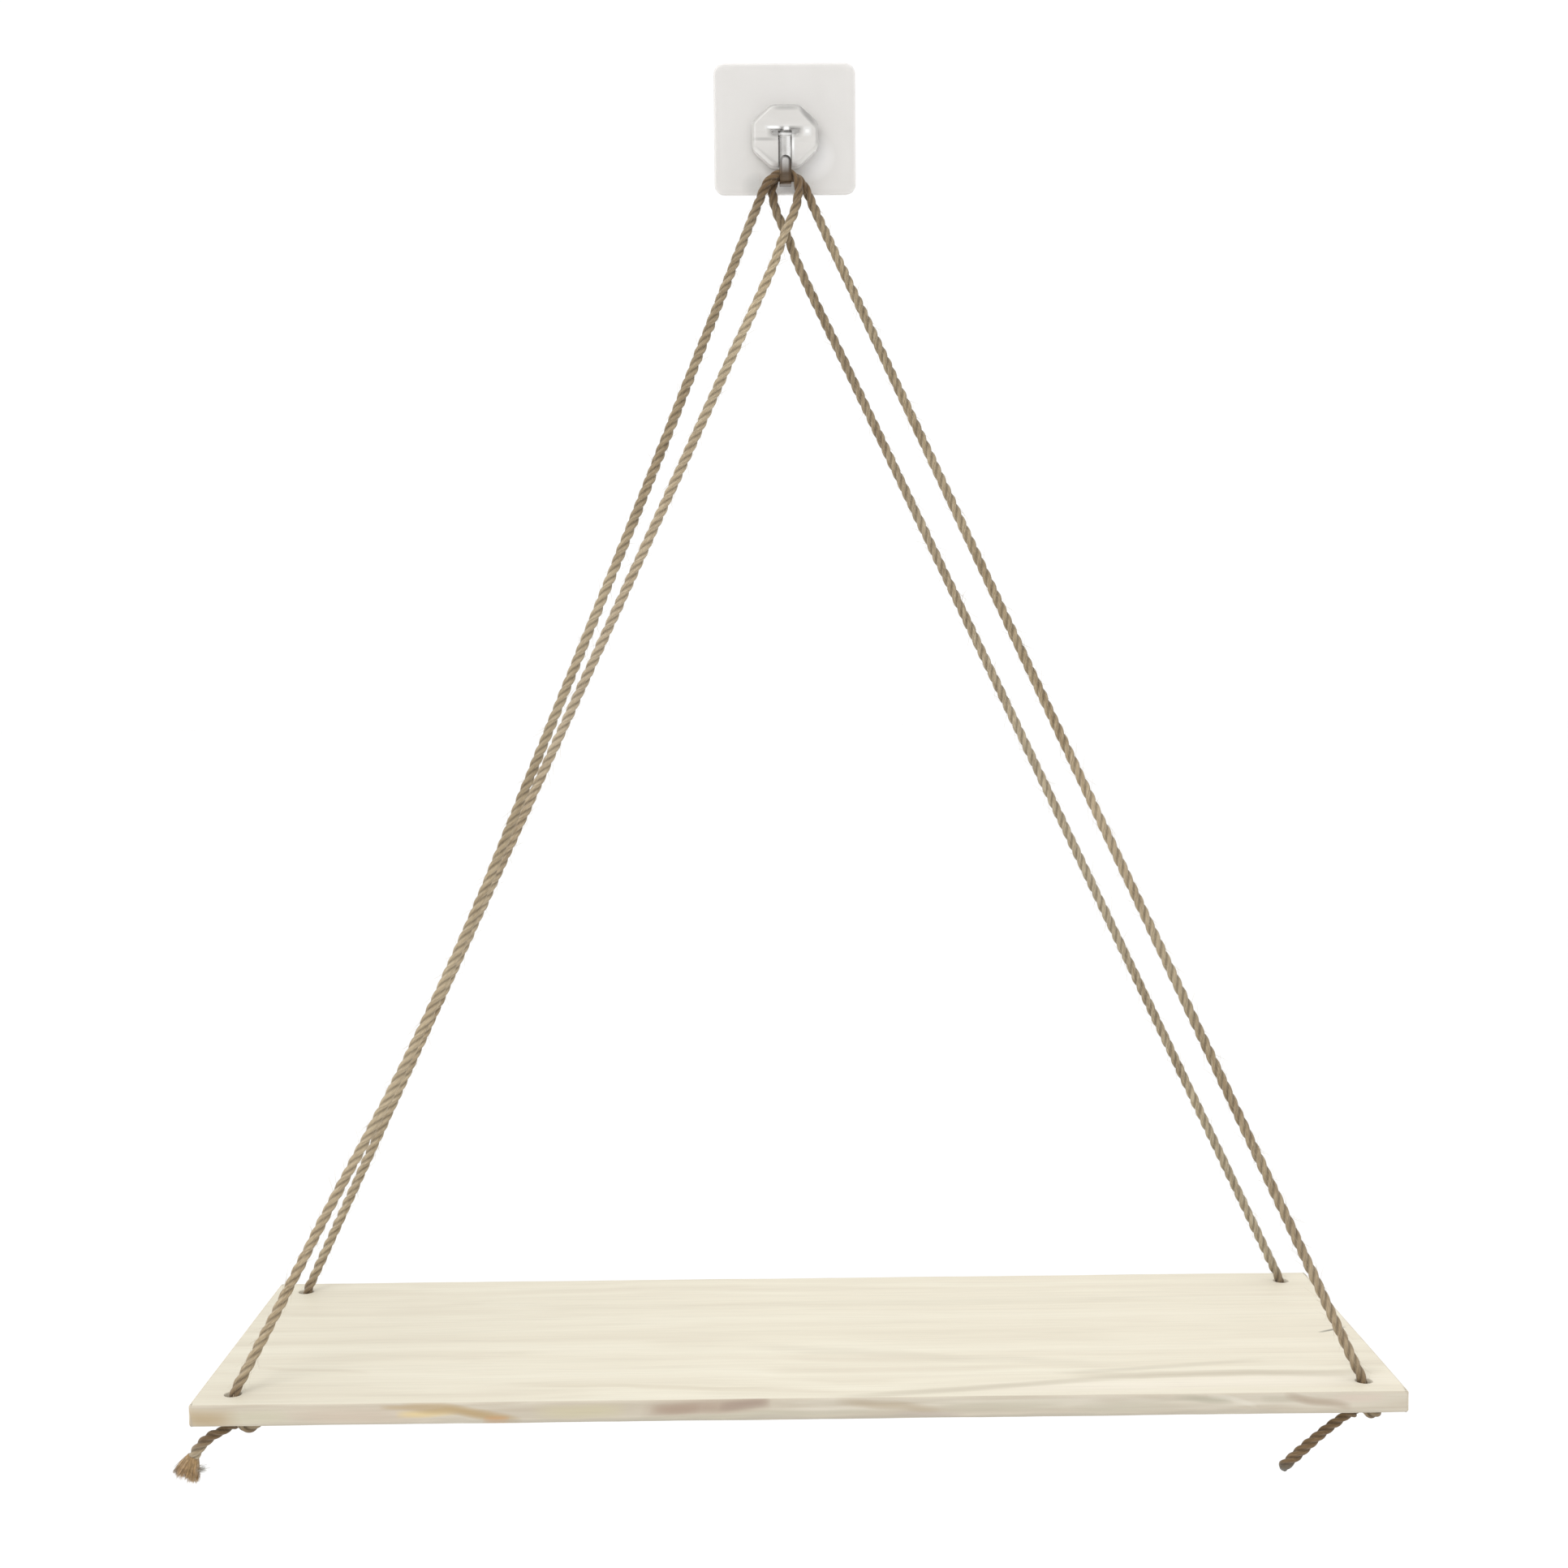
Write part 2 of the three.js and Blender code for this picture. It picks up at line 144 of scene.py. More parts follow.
class Nodes:
    """A material or a shader group under construction, with short calls to add, set and join its nodes."""

    def __init__(self, tree):
        self.tree = tree

    def add(self, kind, inputs=None, **settings):
        """A node with its settings, whose inputs are given a value or another node's output."""
        node = self.tree.nodes.new(kind)
        for key, value in settings.items():
            setattr(node, key, value)
        for socket, value in (inputs or {}).items():
            if isinstance(value, bpy.types.NodeSocket):
                self.tree.links.new(value, node.inputs[socket])
            else:
                node.inputs[socket].default_value = value
        return node

    def join(self, node, **links):
        """Feeds outputs to a node's named inputs."""
        for socket, output in links.items():
            self.tree.links.new(output, node.inputs[socket.replace("_", " ")])

    def coordinates(self, kind="Object"):
        """A point's place in the piece's own space, or its UV, its normal or the way to it."""
        return self.add("ShaderNodeTexCoord").outputs[kind]

    def axes(self, vector):
        """A vector's three parts."""
        return self.add("ShaderNodeSeparateXYZ", {0: vector}).outputs

    def math(self, operation, a, b=0.0, clamp=False, third=0.0):
        """One step of arithmetic, held between 0 and 1 if clamped."""
        values = {0: a, 1: b, 2: third}
        return self.add("ShaderNodeMath", values, operation=operation, use_clamp=clamp).outputs[0]

    def plus(self, a, b):
        """The sum of two values."""
        return self.math("ADD", a, b)

    def minus(self, a, b):
        """The first value less the second."""
        return self.math("SUBTRACT", a, b)

    def times(self, a, b):
        """The product of two values."""
        return self.math("MULTIPLY", a, b)

    def most(self, first, *others):
        """The greatest of several values."""
        for other in others:
            first = self.math("MAXIMUM", first, other)
        return first

    def squares(self, a, b):
        """The sum of two squares."""
        return self.plus(self.math("POWER", a, 2.0), self.math("POWER", b, 2.0))

    def measure(self, operation, a, b=(0, 0, 0)):
        """A number that comes of two vectors, such as their distance."""
        return self.add("ShaderNodeVectorMath", {0: a, 1: b}, operation=operation).outputs["Value"]

    def mix(self, factor, a, b, blend="MIX"):
        """Mixes two colours, the second of them an output or red, green and blue."""
        b = (*b, 1) if isinstance(b, tuple) else b
        node = self.add("ShaderNodeMix", {0: factor, 6: a, 7: b}, data_type="RGBA", blend_type=blend)
        return node.outputs[2]

    def shade(self, tone, level):
        """Multiplies a colour by one number in all of its parts."""
        grey = self.add("ShaderNodeCombineColor", {0: level, 1: level, 2: level}).outputs[0]
        return self.mix(1.0, tone, grey, "MULTIPLY")

    def ramp(self, factor, stops):
        """A colour that runs straight from stop to stop. Each stop is a place and a colour."""
        node = self.add("ShaderNodeValToRGB", {0: factor})
        elements = node.color_ramp.elements
        while len(elements) < len(stops):
            elements.new(0.5)
        for element, (place, colour) in zip(elements, stops):
            element.position = place
            element.color = (*colour, 1)
        return node.outputs[0]

    def noise(self, vector, scale, detail=3.0, roughness=0.5, distortion=0.0):
        """A soft random value about one half, with so many turns for each unit of the vector."""
        values = {"Vector": vector, "Scale": scale, "Detail": detail}
        values.update({"Roughness": roughness, "Distortion": distortion})
        return self.add("ShaderNodeTexNoise", values).outputs[0]

    def stretch(self, vector, scale, location=(0, 0, 0)):
        """The vector times the scale, moved by the location."""
        placing = {"Vector": vector, "Scale": scale, "Location": location}
        return self.add("ShaderNodeMapping", placing).outputs[0]

    def remap(self, value, low, high, new_low=0.0, new_high=1.0):
        """Carries the range from low to high onto the new one, and holds what lies beyond at its ends."""
        values = {"Value": value, "From Min": low, "From Max": high, "To Min": new_low, "To Max": new_high}
        return self.add("ShaderNodeMapRange", values).outputs[0]

    def bump(self, height, strength, distance):
        """A normal that is tilted as if the surface rose by the height's share of the distance."""
        values = {"Height": height, "Strength": strength, "Distance": distance}
        return self.add("ShaderNodeBump", values).outputs[0]


def new_material(name, **sockets):
    """A material with a Principled BSDF, whose constant values are set on its own sockets."""
    material = bpy.data.materials.new(name)
    material.use_nodes = True
    shader = material.node_tree.nodes["Principled BSDF"]
    for socket, value in sockets.items():
        shader.inputs[socket.replace("_", " ")].default_value = value
    return material, Nodes(material.node_tree), shader


def new_group(name, inputs, outputs):
    """An empty shader group with named inputs and outputs, and its nodes. The input called Vector takes a
    vector, and all others are numbers."""
    tree = bpy.data.node_groups.new(name, "ShaderNodeTree")
    for socket in outputs:
        tree.interface.new_socket(socket, in_out="OUTPUT", socket_type="NodeSocketFloat")
    for socket in inputs:
        kind = "NodeSocketVector" if socket == "Vector" else "NodeSocketFloat"
        tree.interface.new_socket(socket, in_out="INPUT", socket_type=kind)
    nodes = Nodes(tree)
    return tree, nodes, nodes.add("NodeGroupInput").outputs, nodes.add("NodeGroupOutput")


# Handling: faint smears and dust that change the gloss of every smooth surface here
handling, inside, given, made = new_group("handling", ("Vector", "Gloss", "Smears"), ("Roughness", "Dust"))
smear = inside.noise(inside.stretch(given["Vector"], (90, 90, 40)), 1.0, 4.0, 0.55, 1.2)
smear = inside.remap(smear, 0.35, 0.7)
specks = inside.remap(inside.noise(given["Vector"], 2600.0, 1.0), 0.66, 0.76)
spread = inside.times(smear, given["Smears"])
inside.join(made, Roughness=inside.plus(given["Gloss"], spread), Dust=inside.times(specks, smear))


def add_handling(nodes, vector, gloss, smears):
    """The handling group's outputs: its roughness is the gloss, raised by the smears."""
    values = {"Vector": vector, "Gloss": gloss, "Smears": smears}
    return nodes.add("ShaderNodeGroup", values, node_tree=handling).outputs


def make_adhesive():
    """Cloudy clear adhesive with round bubbles, each of them the middle of a cell."""
    material, nodes, shader = new_material(
        "clear_adhesive", Transmission_Weight=0.5, IOR=1.46, Specular_IOR_Level=0.4
    )
    place = nodes.coordinates()
    cells = nodes.add("ShaderNodeTexVoronoi", {"Vector": place, "Scale": 900.0})
    bubble = nodes.remap(cells.outputs["Distance"], 0.0, 0.22, 1.0, 0.0)
    tone = nodes.ramp(nodes.noise(place, 120.0, 4.0), film_tones)
    tone = nodes.mix(nodes.times(bubble, 0.5), tone, bubble_tone)
    rough = add_handling(nodes, place, 0.3, 0.2)["Roughness"]
    nodes.join(shader, Base_Color=tone, Roughness=rough, Normal=nodes.bump(bubble, 0.25, 0.2 * MM))
    return material


film_shape = sheet(film_low, film_high, film_corner, film_edge, 3)
film = new_piece("adhesive_film_layer", *film_shape, make_adhesive())
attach(film, "root")
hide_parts("adhesive_film")

# Clear pad
# A square sheet of soft clear plastic with round corners, stamped out with a softly rounded front edge. It
# looks pale warm grey against white, with painted shade a little darker where its edge turns.

pad_low, pad_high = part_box("clear_pad")
pad_size = pad_high - pad_low
pad_corner = 4.5 * MM
pad_edge = 0.55 * MM
pad_tones = [(0.3, (0.70, 0.677, 0.648)), (0.7, (0.735, 0.712, 0.682))]
# Painted shade along the sheet's turned rim
pad_rim_shade_tone = (0.60, 0.57, 0.55)
pad_dust_tone = (0.85, 0.84, 0.82)
# Round patches of the sheet that the clear hub and the hook throw light or shade on, in millimetres: middle,
# radius and strength
pad_light = [((11.0, -11.5), 11.0, 1.0), ((0.8, -24.5), 6.5, 1.0)]
pad_shade = [((-12.5, -24.0), 7.0, 0.45)]
pad_light_tone = (0.95, 0.93, 0.91)
pad_shade_tone = (0.45, 0.45, 0.43)
patch_core_share = 0.45


def make_milky_plastic():
    """Milky sheet with slow clouds. The painted patches of light and shade fade from their cores out to their
    radii, and the rim has painted shade, greyer where the distance from the middle, as a share of the half
    size, nears 1."""
    material, nodes, shader = new_material(
        "milky_pad_plastic", IOR=1.47, Coat_Weight=0.12, Coat_Roughness=0.3, Subsurface_Weight=0.6,
        Subsurface_Radius=(1, 1, 1), Subsurface_Scale=8 * MM
    )
    place = nodes.coordinates()
    cloud = nodes.noise(nodes.stretch(place, (1, 1, 0.6)), 38.0, 2.0, 0.5, 0.5)
    tone = nodes.ramp(cloud, pad_tones)
    axes = nodes.axes(place)
    across = nodes.math("ABSOLUTE", nodes.math("DIVIDE", axes[0], pad_size.x / 2))
    upward = nodes.math("ABSOLUTE", nodes.math("DIVIDE", axes[2], pad_size.z / 2))
    tone = nodes.mix(nodes.remap(nodes.most(across, upward), 0.9, 1.0, 0.0, 0.5), tone, pad_rim_shade_tone)
    for patches, cast in ((pad_light, pad_light_tone), (pad_shade, pad_shade_tone)):
        for middle, radius, strength in patches:
            away = nodes.measure("DISTANCE", place, (middle[0] * MM, -pad_high.y, middle[1] * MM))
            core = radius * patch_core_share * MM
            tone = nodes.mix(nodes.remap(away, radius * MM, core, 0.0, strength), tone, cast)
    rough = add_handling(nodes, place, 0.36, 0.05)
    tone = nodes.mix(nodes.times(rough["Dust"], 0.3), tone, pad_dust_tone)
    ripple = nodes.bump(nodes.noise(place, 110.0, 2.0), 0.02, 0.3 * MM)
    nodes.join(shader, Base_Color=tone, Roughness=rough["Roughness"], Normal=ripple)
    return material


pad_shape = sheet(pad_low, pad_high, pad_corner, pad_edge, 6, 12, 12)
pad = new_piece("clear_pad_sheet", *pad_shape, make_milky_plastic())
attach(pad, "root")
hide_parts("clear_pad")

# Hook hub
# An octagonal block of clear plastic, moulded with a chamfered face and welded to the pad. The groove across
# its back traps the hook's crossbar, and the slot in front lets the strip hang and swing out.

hub_low, hub_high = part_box("hook_hub")
hub_size = hub_high - hub_low
hub_middle_z = (hub_high.z + hub_low.z) / 2
hub_sides = 8
hub_corner_share = 0.16
hub_chamfer = 1.6 * MM
hub_face_share = 0.38
bar_radius = 1.1 * MM
bar_length = 15 * MM
bar_out = 5.6 * MM
bar_z = -2.9 * MM
bar_gap = 0.3 * MM
strip_width = 5 * MM
strip_thickness = 1.2 * MM
slot_gap = 0.4 * MM
groove_corner = 0.5 * MM
slot_corner = 0.4 * MM
overrun = 3 * MM
hub_tones = [(0.3, (0.78, 0.76, 0.73)), (0.7, (0.84, 0.82, 0.79))]
# Painted shade of the chamfer, the edges seen through the block and the downward faces, and painted glints
hub_shade_tone = (0.22, 0.215, 0.21)
hub_glint_tone = (0.98, 0.98, 0.97)
hub_underside_shade_tone = (0.78, 0.765, 0.745)
# Painted shade lines and painted glints of the chamfer, the groove and the slot, as seen through the block,
# in
# millimetres: middle, half length, half width, slope and strength. The last lets the crossbar show
hub_shade_marks = [
    ((0.8, 7.3), 6.0, 1.5, 0.0, 0.45),
    ((9.6, 3.8), 4.2, 2.4, -1.05, 0.75),
    ((-8.3, -5.9), 5.8, 0.9, 0.0, 0.4),
    ((-7.9, -12.9), 4.8, 1.3, -0.77, 0.2),
    ((-3.2, -3.4), 2.4, 1.2, -0.05, 0.8),
    ((3.9, -2.6), 2.6, 1.1, 0.12, 0.75),
]
hub_glints = [
    ((-5.0, -1.0), 4.0, 1.0),
    ((9.4, -2.7), 1.9, 2.3, 0.0, 0.85),
    ((0.6, -1.6), 1.7, 1.9, 0.0, 0.9),
    ((3.3, -8.5), 0.9, 6.0, 0.0, 0.9),
]
bar_window = ((0, -2.9), 8, 2.6, 0.0, 0.62)


def octagon(inset):
    """A regular octagon with its flats up, squeezed to the hub's height. Each corner is a quadratic curve
    that leaves one side, bends towards the sharp corner and meets the next side."""
    apothem = hub_size.x / 2 - inset
    angle = (np.arange(hub_sides) + 0.5) * 2 * math.pi / hub_sides
    corner = apothem / math.cos(math.pi / hub_sides) * circle(angle)
    before = corner + hub_corner_share * (np.roll(corner, 1, 0) - corner)
    after = corner + hub_corner_share * (np.roll(corner, -1, 0) - corner)
    share = np.linspace(0, 1, 7)[None, :, None]
    bend = (1 - share) ** 2 * before[:, None] + 2 * share * (1 - share) * corner[:, None]
    bend = bend + share**2 * after[:, None]
    return bend.reshape(-1, 2) * (1, hub_size.z / hub_size.x) + (0, hub_middle_z)


def hub_stations():
    """From the pad straight out to the chamfer, where the inset grows evenly and the rise follows a sine."""
    share = np.array([0, 0.1, 0.25, 0.5, 0.75, 1])
    out = -hub_low.y - hub_chamfer + hub_chamfer * np.sin(share * math.pi / 2)
    return [(0.0, -hub_high.y), *zip(hub_chamfer * share, out)]


def box_cutter(name, low, high, radius):
    """A block with rounded edges along Y, used to cut a piece and then removed."""
    middle = ((low[0] + high[0]) / 2, (low[2] + high[2]) / 2)

    def outline(inset):
        """The block's outline, drawn in on all sides by the inset."""
        width, height = high[0] - low[0] - 2 * inset, high[2] - low[2] - 2 * inset
        return rounded_outline(width, height, radius, 6) + middle

    return new_piece(name, *wall_plate(outline, [(0, -high[1]), (0, -low[1])]), None)


def carve(piece, cutter, operation="DIFFERENCE"):
    """Cuts or joins one mesh with another for good, and removes the other."""
    modifier = piece.modifiers.new("carve", "BOOLEAN")
    modifier.operation = operation
    modifier.solver = "EXACT"
    modifier.object = cutter
    view = bpy.context.evaluated_depsgraph_get()
    carved = bpy.data.meshes.new_from_object(piece.evaluated_get(view))
    piece.modifiers.remove(modifier)
    piece.data = carved
    bpy.data.objects.remove(cutter)


# Mark: one soft-ended streak in a plane, level at its middle and tilted by its slope
mark_inputs = ("Along", "Off", "Middle", "Level", "Half Length", "Half Width", "Slope")
marks, inside, given, made = new_group("mark", mark_inputs, ("Mask",))
run = inside.minus(given["Along"], given["Middle"])
tilted = inside.math("MULTIPLY_ADD", run, given["Slope"], third=given["Level"])
along_share = inside.math("DIVIDE", run, given["Half Length"])
off_share = inside.math("DIVIDE", inside.minus(given["Off"], tilted), given["Half Width"])
from_middle = inside.math("POWER", inside.math("ABSOLUTE", along_share), 3.0)
from_line = inside.math("POWER", off_share, 2.0)
near_middle = inside.math("SUBTRACT", 1.0, from_middle, clamp=True)
near_line = inside.math("SUBTRACT", 1.0, from_line, clamp=True)
inside.join(made, Mask=inside.times(near_middle, near_line))


def add_mark(nodes, plane, middle, half_length, half_width, slope=0.0, strength=1.0):
    """A streak in the plane of two coordinates, its size in millimetres, as a mask of the given strength."""
    values = (*plane, middle[0] * MM, middle[1] * MM, half_length * MM, half_width * MM, slope)
    node = nodes.add("ShaderNodeGroup", dict(zip(mark_inputs, values)), node_tree=marks)
    return nodes.times(node.outputs["Mask"], strength)


def make_clear_plastic():
    """A thin pale body that lets the pad show through. Its chamfer has painted shade, grey at the upper right
    and fainter at the lower left, by how far a face turns that way. The groove's walls show as painted glints
    over a painted grey line."""
    material, nodes, shader = new_material(
        "clear_hub_plastic", IOR=1.45, Coat_Weight=0.5, Coat_Roughness=0.05
    )
    place = nodes.coordinates()
    axes = nodes.axes(place)
    plane = (axes[0], axes[2])
    rough = add_handling(nodes, place, 0.05, 0.1)["Roughness"]
    flow = nodes.noise(nodes.stretch(place, (60, 60, 180)), 1.0, 2.0, 0.5, 0.6)
    tone = nodes.ramp(flow, hub_tones)

    # Only the chamfer and the walls outside it count as turned faces
    normal = nodes.add("ShaderNodeNewGeometry").outputs["True Normal"]
    outwards = nodes.squares(axes[0], nodes.minus(axes[2], hub_middle_z))
    outer = nodes.math("GREATER_THAN", outwards, (hub_face_share * hub_size.z) ** 2)
    # Painted shade on the chamfer's faces that turn to the upper right, fainter on those to the lower left
    up_right = nodes.measure("DOT_PRODUCT", normal, (0.55, 0, 0.83))
    turned = nodes.most(up_right, nodes.times(up_right, -0.4))
    dark = nodes.times(nodes.remap(turned, 0.2, 0.6, 0.0, 0.38), outer)
    # Painted shade lines of the chamfer, the groove and the slot
    dark = nodes.most(dark, *(add_mark(nodes, plane, *mark) for mark in hub_shade_marks))
    tone = nodes.mix(dark, tone, hub_shade_tone)
    glint = nodes.most(0.0, *(add_mark(nodes, plane, *mark) for mark in hub_glints))
    tone = nodes.mix(glint, tone, hub_glint_tone)
    # Painted pale grey shade on the outer faces that turn down
    underside = nodes.remap(nodes.axes(normal)[2], -0.3, -0.7)
    tone = nodes.mix(nodes.times(underside, outer), tone, hub_underside_shade_tone)

    # The body is clearer over the crossbar and on its left faces, and denser underneath
    leftward = nodes.remap(nodes.measure("DOT_PRODUCT", normal, (-0.85, 0, 0.5)), 0.5, 0.85)
    body = nodes.minus(0.7, add_mark(nodes, plane, *bar_window))
    body = nodes.minus(body, nodes.times(nodes.times(leftward, outer), 0.18))
    body = nodes.plus(body, nodes.times(underside, nodes.remap(outer, 0.0, 1.0, -0.45, 0.28)))
    body = nodes.most(nodes.most(dark, glint), body)
    ripple = nodes.bump(flow, 0.05, 0.5 * MM)
    nodes.join(shader, Base_Color=tone, Roughness=rough, Normal=ripple, Alpha=body)
    return material


hub = new_piece("octagonal_hub", *wall_plate(octagon, hub_stations()), make_clear_plastic(), smooth=False)
groove_half = bar_length / 2 + bar_gap
groove_radius = bar_radius + bar_gap
carve(hub, box_cutter(
    "groove",
    (-groove_half, -bar_out - groove_radius, bar_z - groove_radius),
    (groove_half, hub_high.y + overrun, bar_z + groove_radius),
    groove_corner,
))
slot_half = strip_width / 2 + slot_gap
slot_reach = strip_thickness / 2 + bar_gap
carve(hub, box_cutter(
    "strip_slot",
    (-slot_half, hub_low.y - overrun, hub_low.z - overrun),
    (slot_half, -bar_out + slot_reach, bar_z + slot_reach),
    slot_corner,
))
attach(hub, "root")
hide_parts("hook_hub")

# Steel hook
# A stamped stainless strip, bent into a square-bottomed J with a round tip. Its crossbar lies in the hub's
# groove, and both ropes lie side by side in its trough.

hook_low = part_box("steel_hook")[0]
rope_diameter = 4 * MM
touch_gap = 0.3 * MM
trough_width = 2 * rope_diameter + 3 * touch_gap
trough_bottom = hook_low.z + strip_thickness
trough_corner = 2.6 * MM
tip_top = -14 * MM
tip_least_share = 0.05
strip_edge = 0.35 * MM
bar_edge = 0.35 * MM
# Heights between which the ropes' brown is painted on the strip as their reflection, and how wide the painted
# light is that the slot lets onto its arm
rope_reflection_from_z = -15.5 * MM
rope_reflection_full_z = -21.5 * MM
slot_light_from_x = 3.0 * MM
slot_light_full_x = 1.0 * MM
steel_tones = [(0.3, (0.50, 0.49, 0.475)), (0.7, (0.63, 0.62, 0.60))]
# Painted reflections of the room and the ropes, a painted highlight, and painted shade and light on the arm
steel_dark_reflection_tone = (0.035, 0.032, 0.03)
steel_highlight_tone = (0.93, 0.93, 0.92)
steel_rope_reflection_tone = (0.10, 0.068, 0.042)
steel_arm_shade_tone = (0.25, 0.245, 0.235)
steel_slot_light_tone = (0.95, 0.95, 0.94)


def unit(vectors):
    """Each vector divided by its own length."""
    return vectors / np.linalg.norm(vectors, axis=-1, keepdims=True)


def hook_line():
    """The strip's middle line, as distance from the wall and height: down, round two corners and up."""
    bend = trough_corner + strip_thickness / 2
    front = bar_out + strip_thickness + trough_width
    low = trough_bottom + trough_corner
    steps, tip_steps = 14, 24
    turn = np.linspace(0, math.pi / 2, steps)
    down = np.stack([np.full(steps, bar_out), np.linspace(bar_z, low, steps, endpoint=False)], 1)
    first = np.stack([bar_out + bend * (1 - np.cos(turn)), low - bend * np.sin(turn)], 1)
    second = np.stack([front - bend * (1 - np.sin(turn)), low - bend * np.cos(turn)], 1)
    up = np.stack([np.full(tip_steps, front), np.linspace(low, tip_top, tip_steps + 1)[1:]], 1)
    return np.concatenate([down, first, second, up])


def round_end(left, least_share):
    """The share of its size that a rounded end keeps, for the radii left to it: a quarter circle's height."""
    return np.clip(np.sqrt(1 - np.clip(1 - left, 0, 1) ** 2), least_share, 1)


def strip_surface(line, width, thickness, edge):
    """Carries a rounded section along the line. Near the tip the width follows a half circle to a point."""
    along = unit(np.gradient(line, axis=0))
    across = np.stack([-along[:, 1], along[:, 0]], 1)
    left = np.linalg.norm(np.diff(line, axis=0), axis=1)[::-1].cumsum()[::-1]
    taper = round_end(np.append(left, 0) / (width / 2), tip_least_share)
    section = rounded_outline(width, thickness, edge, 5)
    x = section[None, :, 0] * taper[:, None]
    place = line[:, None, :] + section[None, :, 1, None] * across[:, None, :]
    return np.stack([x, -place[..., 0], place[..., 1]], -1)


def turned(profile, centre, around):
    """Turns a profile about an axis. Each ring lies at its radius round the centre, and its third
    coordinate is its place along the axis."""
    angle = np.linspace(0, 2 * math.pi, around, endpoint=False)
    ring = centre + profile[:, :1, None] * circle(angle)
    return np.concatenate([ring, np.broadcast_to(profile[:, 1:, None], (*ring.shape[:2], 1))], -1)


def crossbar_rings():
    """A round bar along X whose ends are eased by a quarter circle."""
    turn = np.linspace(0, math.pi / 2, 5)
    radius = bar_radius - bar_edge * (1 - np.sin(turn))
    end = np.stack([radius, -bar_length / 2 + bar_edge * (1 - np.cos(turn))], 1)
    profile = np.concatenate([end, end[::-1] * (1, -1)])
    return np.roll(turned(profile, (-bar_out, bar_z), 32), 1, -1)


def make_steel():
    """Polished strip with painted reflections, light where it faces the room and dark along its outline, as
    polished steel is in a pale room, and a painted brown reflection in the trough of the ropes it carries.
    The outline is measured from the strip's middle line, and near the tip from the middle of its round end."""
    material, nodes, shader = new_material("stainless_strip", Metallic=1.0)
    place = nodes.coordinates()
    axes = nodes.axes(place)
    tone = nodes.ramp(nodes.noise(place, 240.0, 3.0), steel_tones)
    half = strip_width / 2
    in_front = nodes.math("LESS_THAN", axes[1], -bar_out - strip_thickness)
    above = nodes.times(nodes.most(nodes.minus(axes[2], tip_top - half), 0.0), in_front)
    beside = nodes.math("SQRT", nodes.squares(axes[0], above))
    outline = nodes.times(nodes.remap(beside, half * 0.42, half * 0.72), 0.92)

    # The bends of the strip turn up or down and lose the room's light, painted as a darker outline
    turned_away = nodes.minus(1.0, nodes.math("ABSOLUTE", nodes.axes(nodes.coordinates("Normal"))[1]))
    outline = nodes.most(outline, nodes.remap(turned_away, 0.3, 0.8, 0.0, 0.95))
    # Painted highlight along the right side of the strip in its slot
    highlight_side = nodes.remap(axes[0], half * 0.1, half * 0.5)
    highlight_side = nodes.times(highlight_side, nodes.minus(1.0, in_front))
    outline = nodes.times(outline, nodes.minus(1.0, highlight_side))
    outline = nodes.times(outline, nodes.remap(in_front, 0.0, 1.0, 0.5, 1.0))
    outline = nodes.times(outline, nodes.remap(axes[0], -half, half * 0.3, 0.85, 1.0))
    tone = nodes.mix(outline, tone, steel_dark_reflection_tone)
    tone = nodes.mix(nodes.times(highlight_side, 0.8), tone, steel_highlight_tone)
    # Painted reflection of the ropes' brown in the trough
    brown = nodes.remap(axes[2], rope_reflection_from_z, rope_reflection_full_z, 0.0, 0.95)
    tone = nodes.mix(brown, tone, steel_rope_reflection_tone)

    # In its slot the arm has painted shade, with painted light that the slot lets in along its middle
    arm = nodes.math("GREATER_THAN", axes[2], bar_z - bar_radius)
    in_slot = nodes.remap(nodes.math("ABSOLUTE", axes[0]), slot_light_from_x, slot_light_full_x)
    in_slot = nodes.times(arm, in_slot)
    tone = nodes.mix(nodes.times(arm, 0.3), tone, steel_arm_shade_tone)
    tone = nodes.mix(in_slot, tone, steel_slot_light_tone)
    rough = add_handling(nodes, place, 0.16, 0.16)["Roughness"]
    dull = nodes.most(rough, nodes.times(in_slot, 0.7))
    rolled = nodes.noise(nodes.stretch(place, (5200, 500, 260)), 1.0, 3.0)
    nodes.join(shader, Base_Color=tone, Roughness=dull, Normal=nodes.bump(rolled, 0.15, 0.05 * MM))
    return material


hook_strip = strip_surface(hook_line(), strip_width, strip_thickness, strip_edge)
hook = new_piece("bent_steel_hook", *closed_rings(hook_strip), make_steel())
carve(hook, new_piece("crossbar", *closed_rings(crossbar_rings()), None), "UNION")
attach(hook, "hook")
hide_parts("steel_hook")

# Board
# One plank of pale softwood, planed and left bare, its edges broken by hand. A hole near each corner takes a
# rope. The grain runs lengthwise, with a darker streak near the front and brown figure in the front edge.

board_low, board_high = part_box("shelf_board")
board_size = board_high - board_low
board_middle = (board_low + board_high) / 2
board_corner = 1.5 * MM
board_edge = 0.8 * MM
hole_radius = 3.1 * MM
hole_rim = 0.3 * MM
hole_overrun = 0.6 * MM
hole_from_end = 13.5 * MM
hole_from_edge = 12 * MM
hole_x = board_size.x / 2 - hole_from_end
rear_hole_y = board_high.y - hole_from_edge
front_hole_y = board_low.y + hole_from_edge
# How unevenly the edges are broken: each wave's share of the edge, its turns in radians for each metre in X
# and in Y, and its start
edge_waves = [(0.22, 61, 17, 0), (0.16, 143, -71, 2), (0.1, 377, 0, 5)]
# How far in from a sawn edge the top's figure starts to give way to the edge's own, and has given way
sawn_from = 0.9 * MM
sawn_full = 0.3 * MM
wood_tones = [(0.3, (0.67, 0.615, 0.495)), (0.5, (0.715, 0.665, 0.54)), (0.7, (0.745, 0.70, 0.575))]
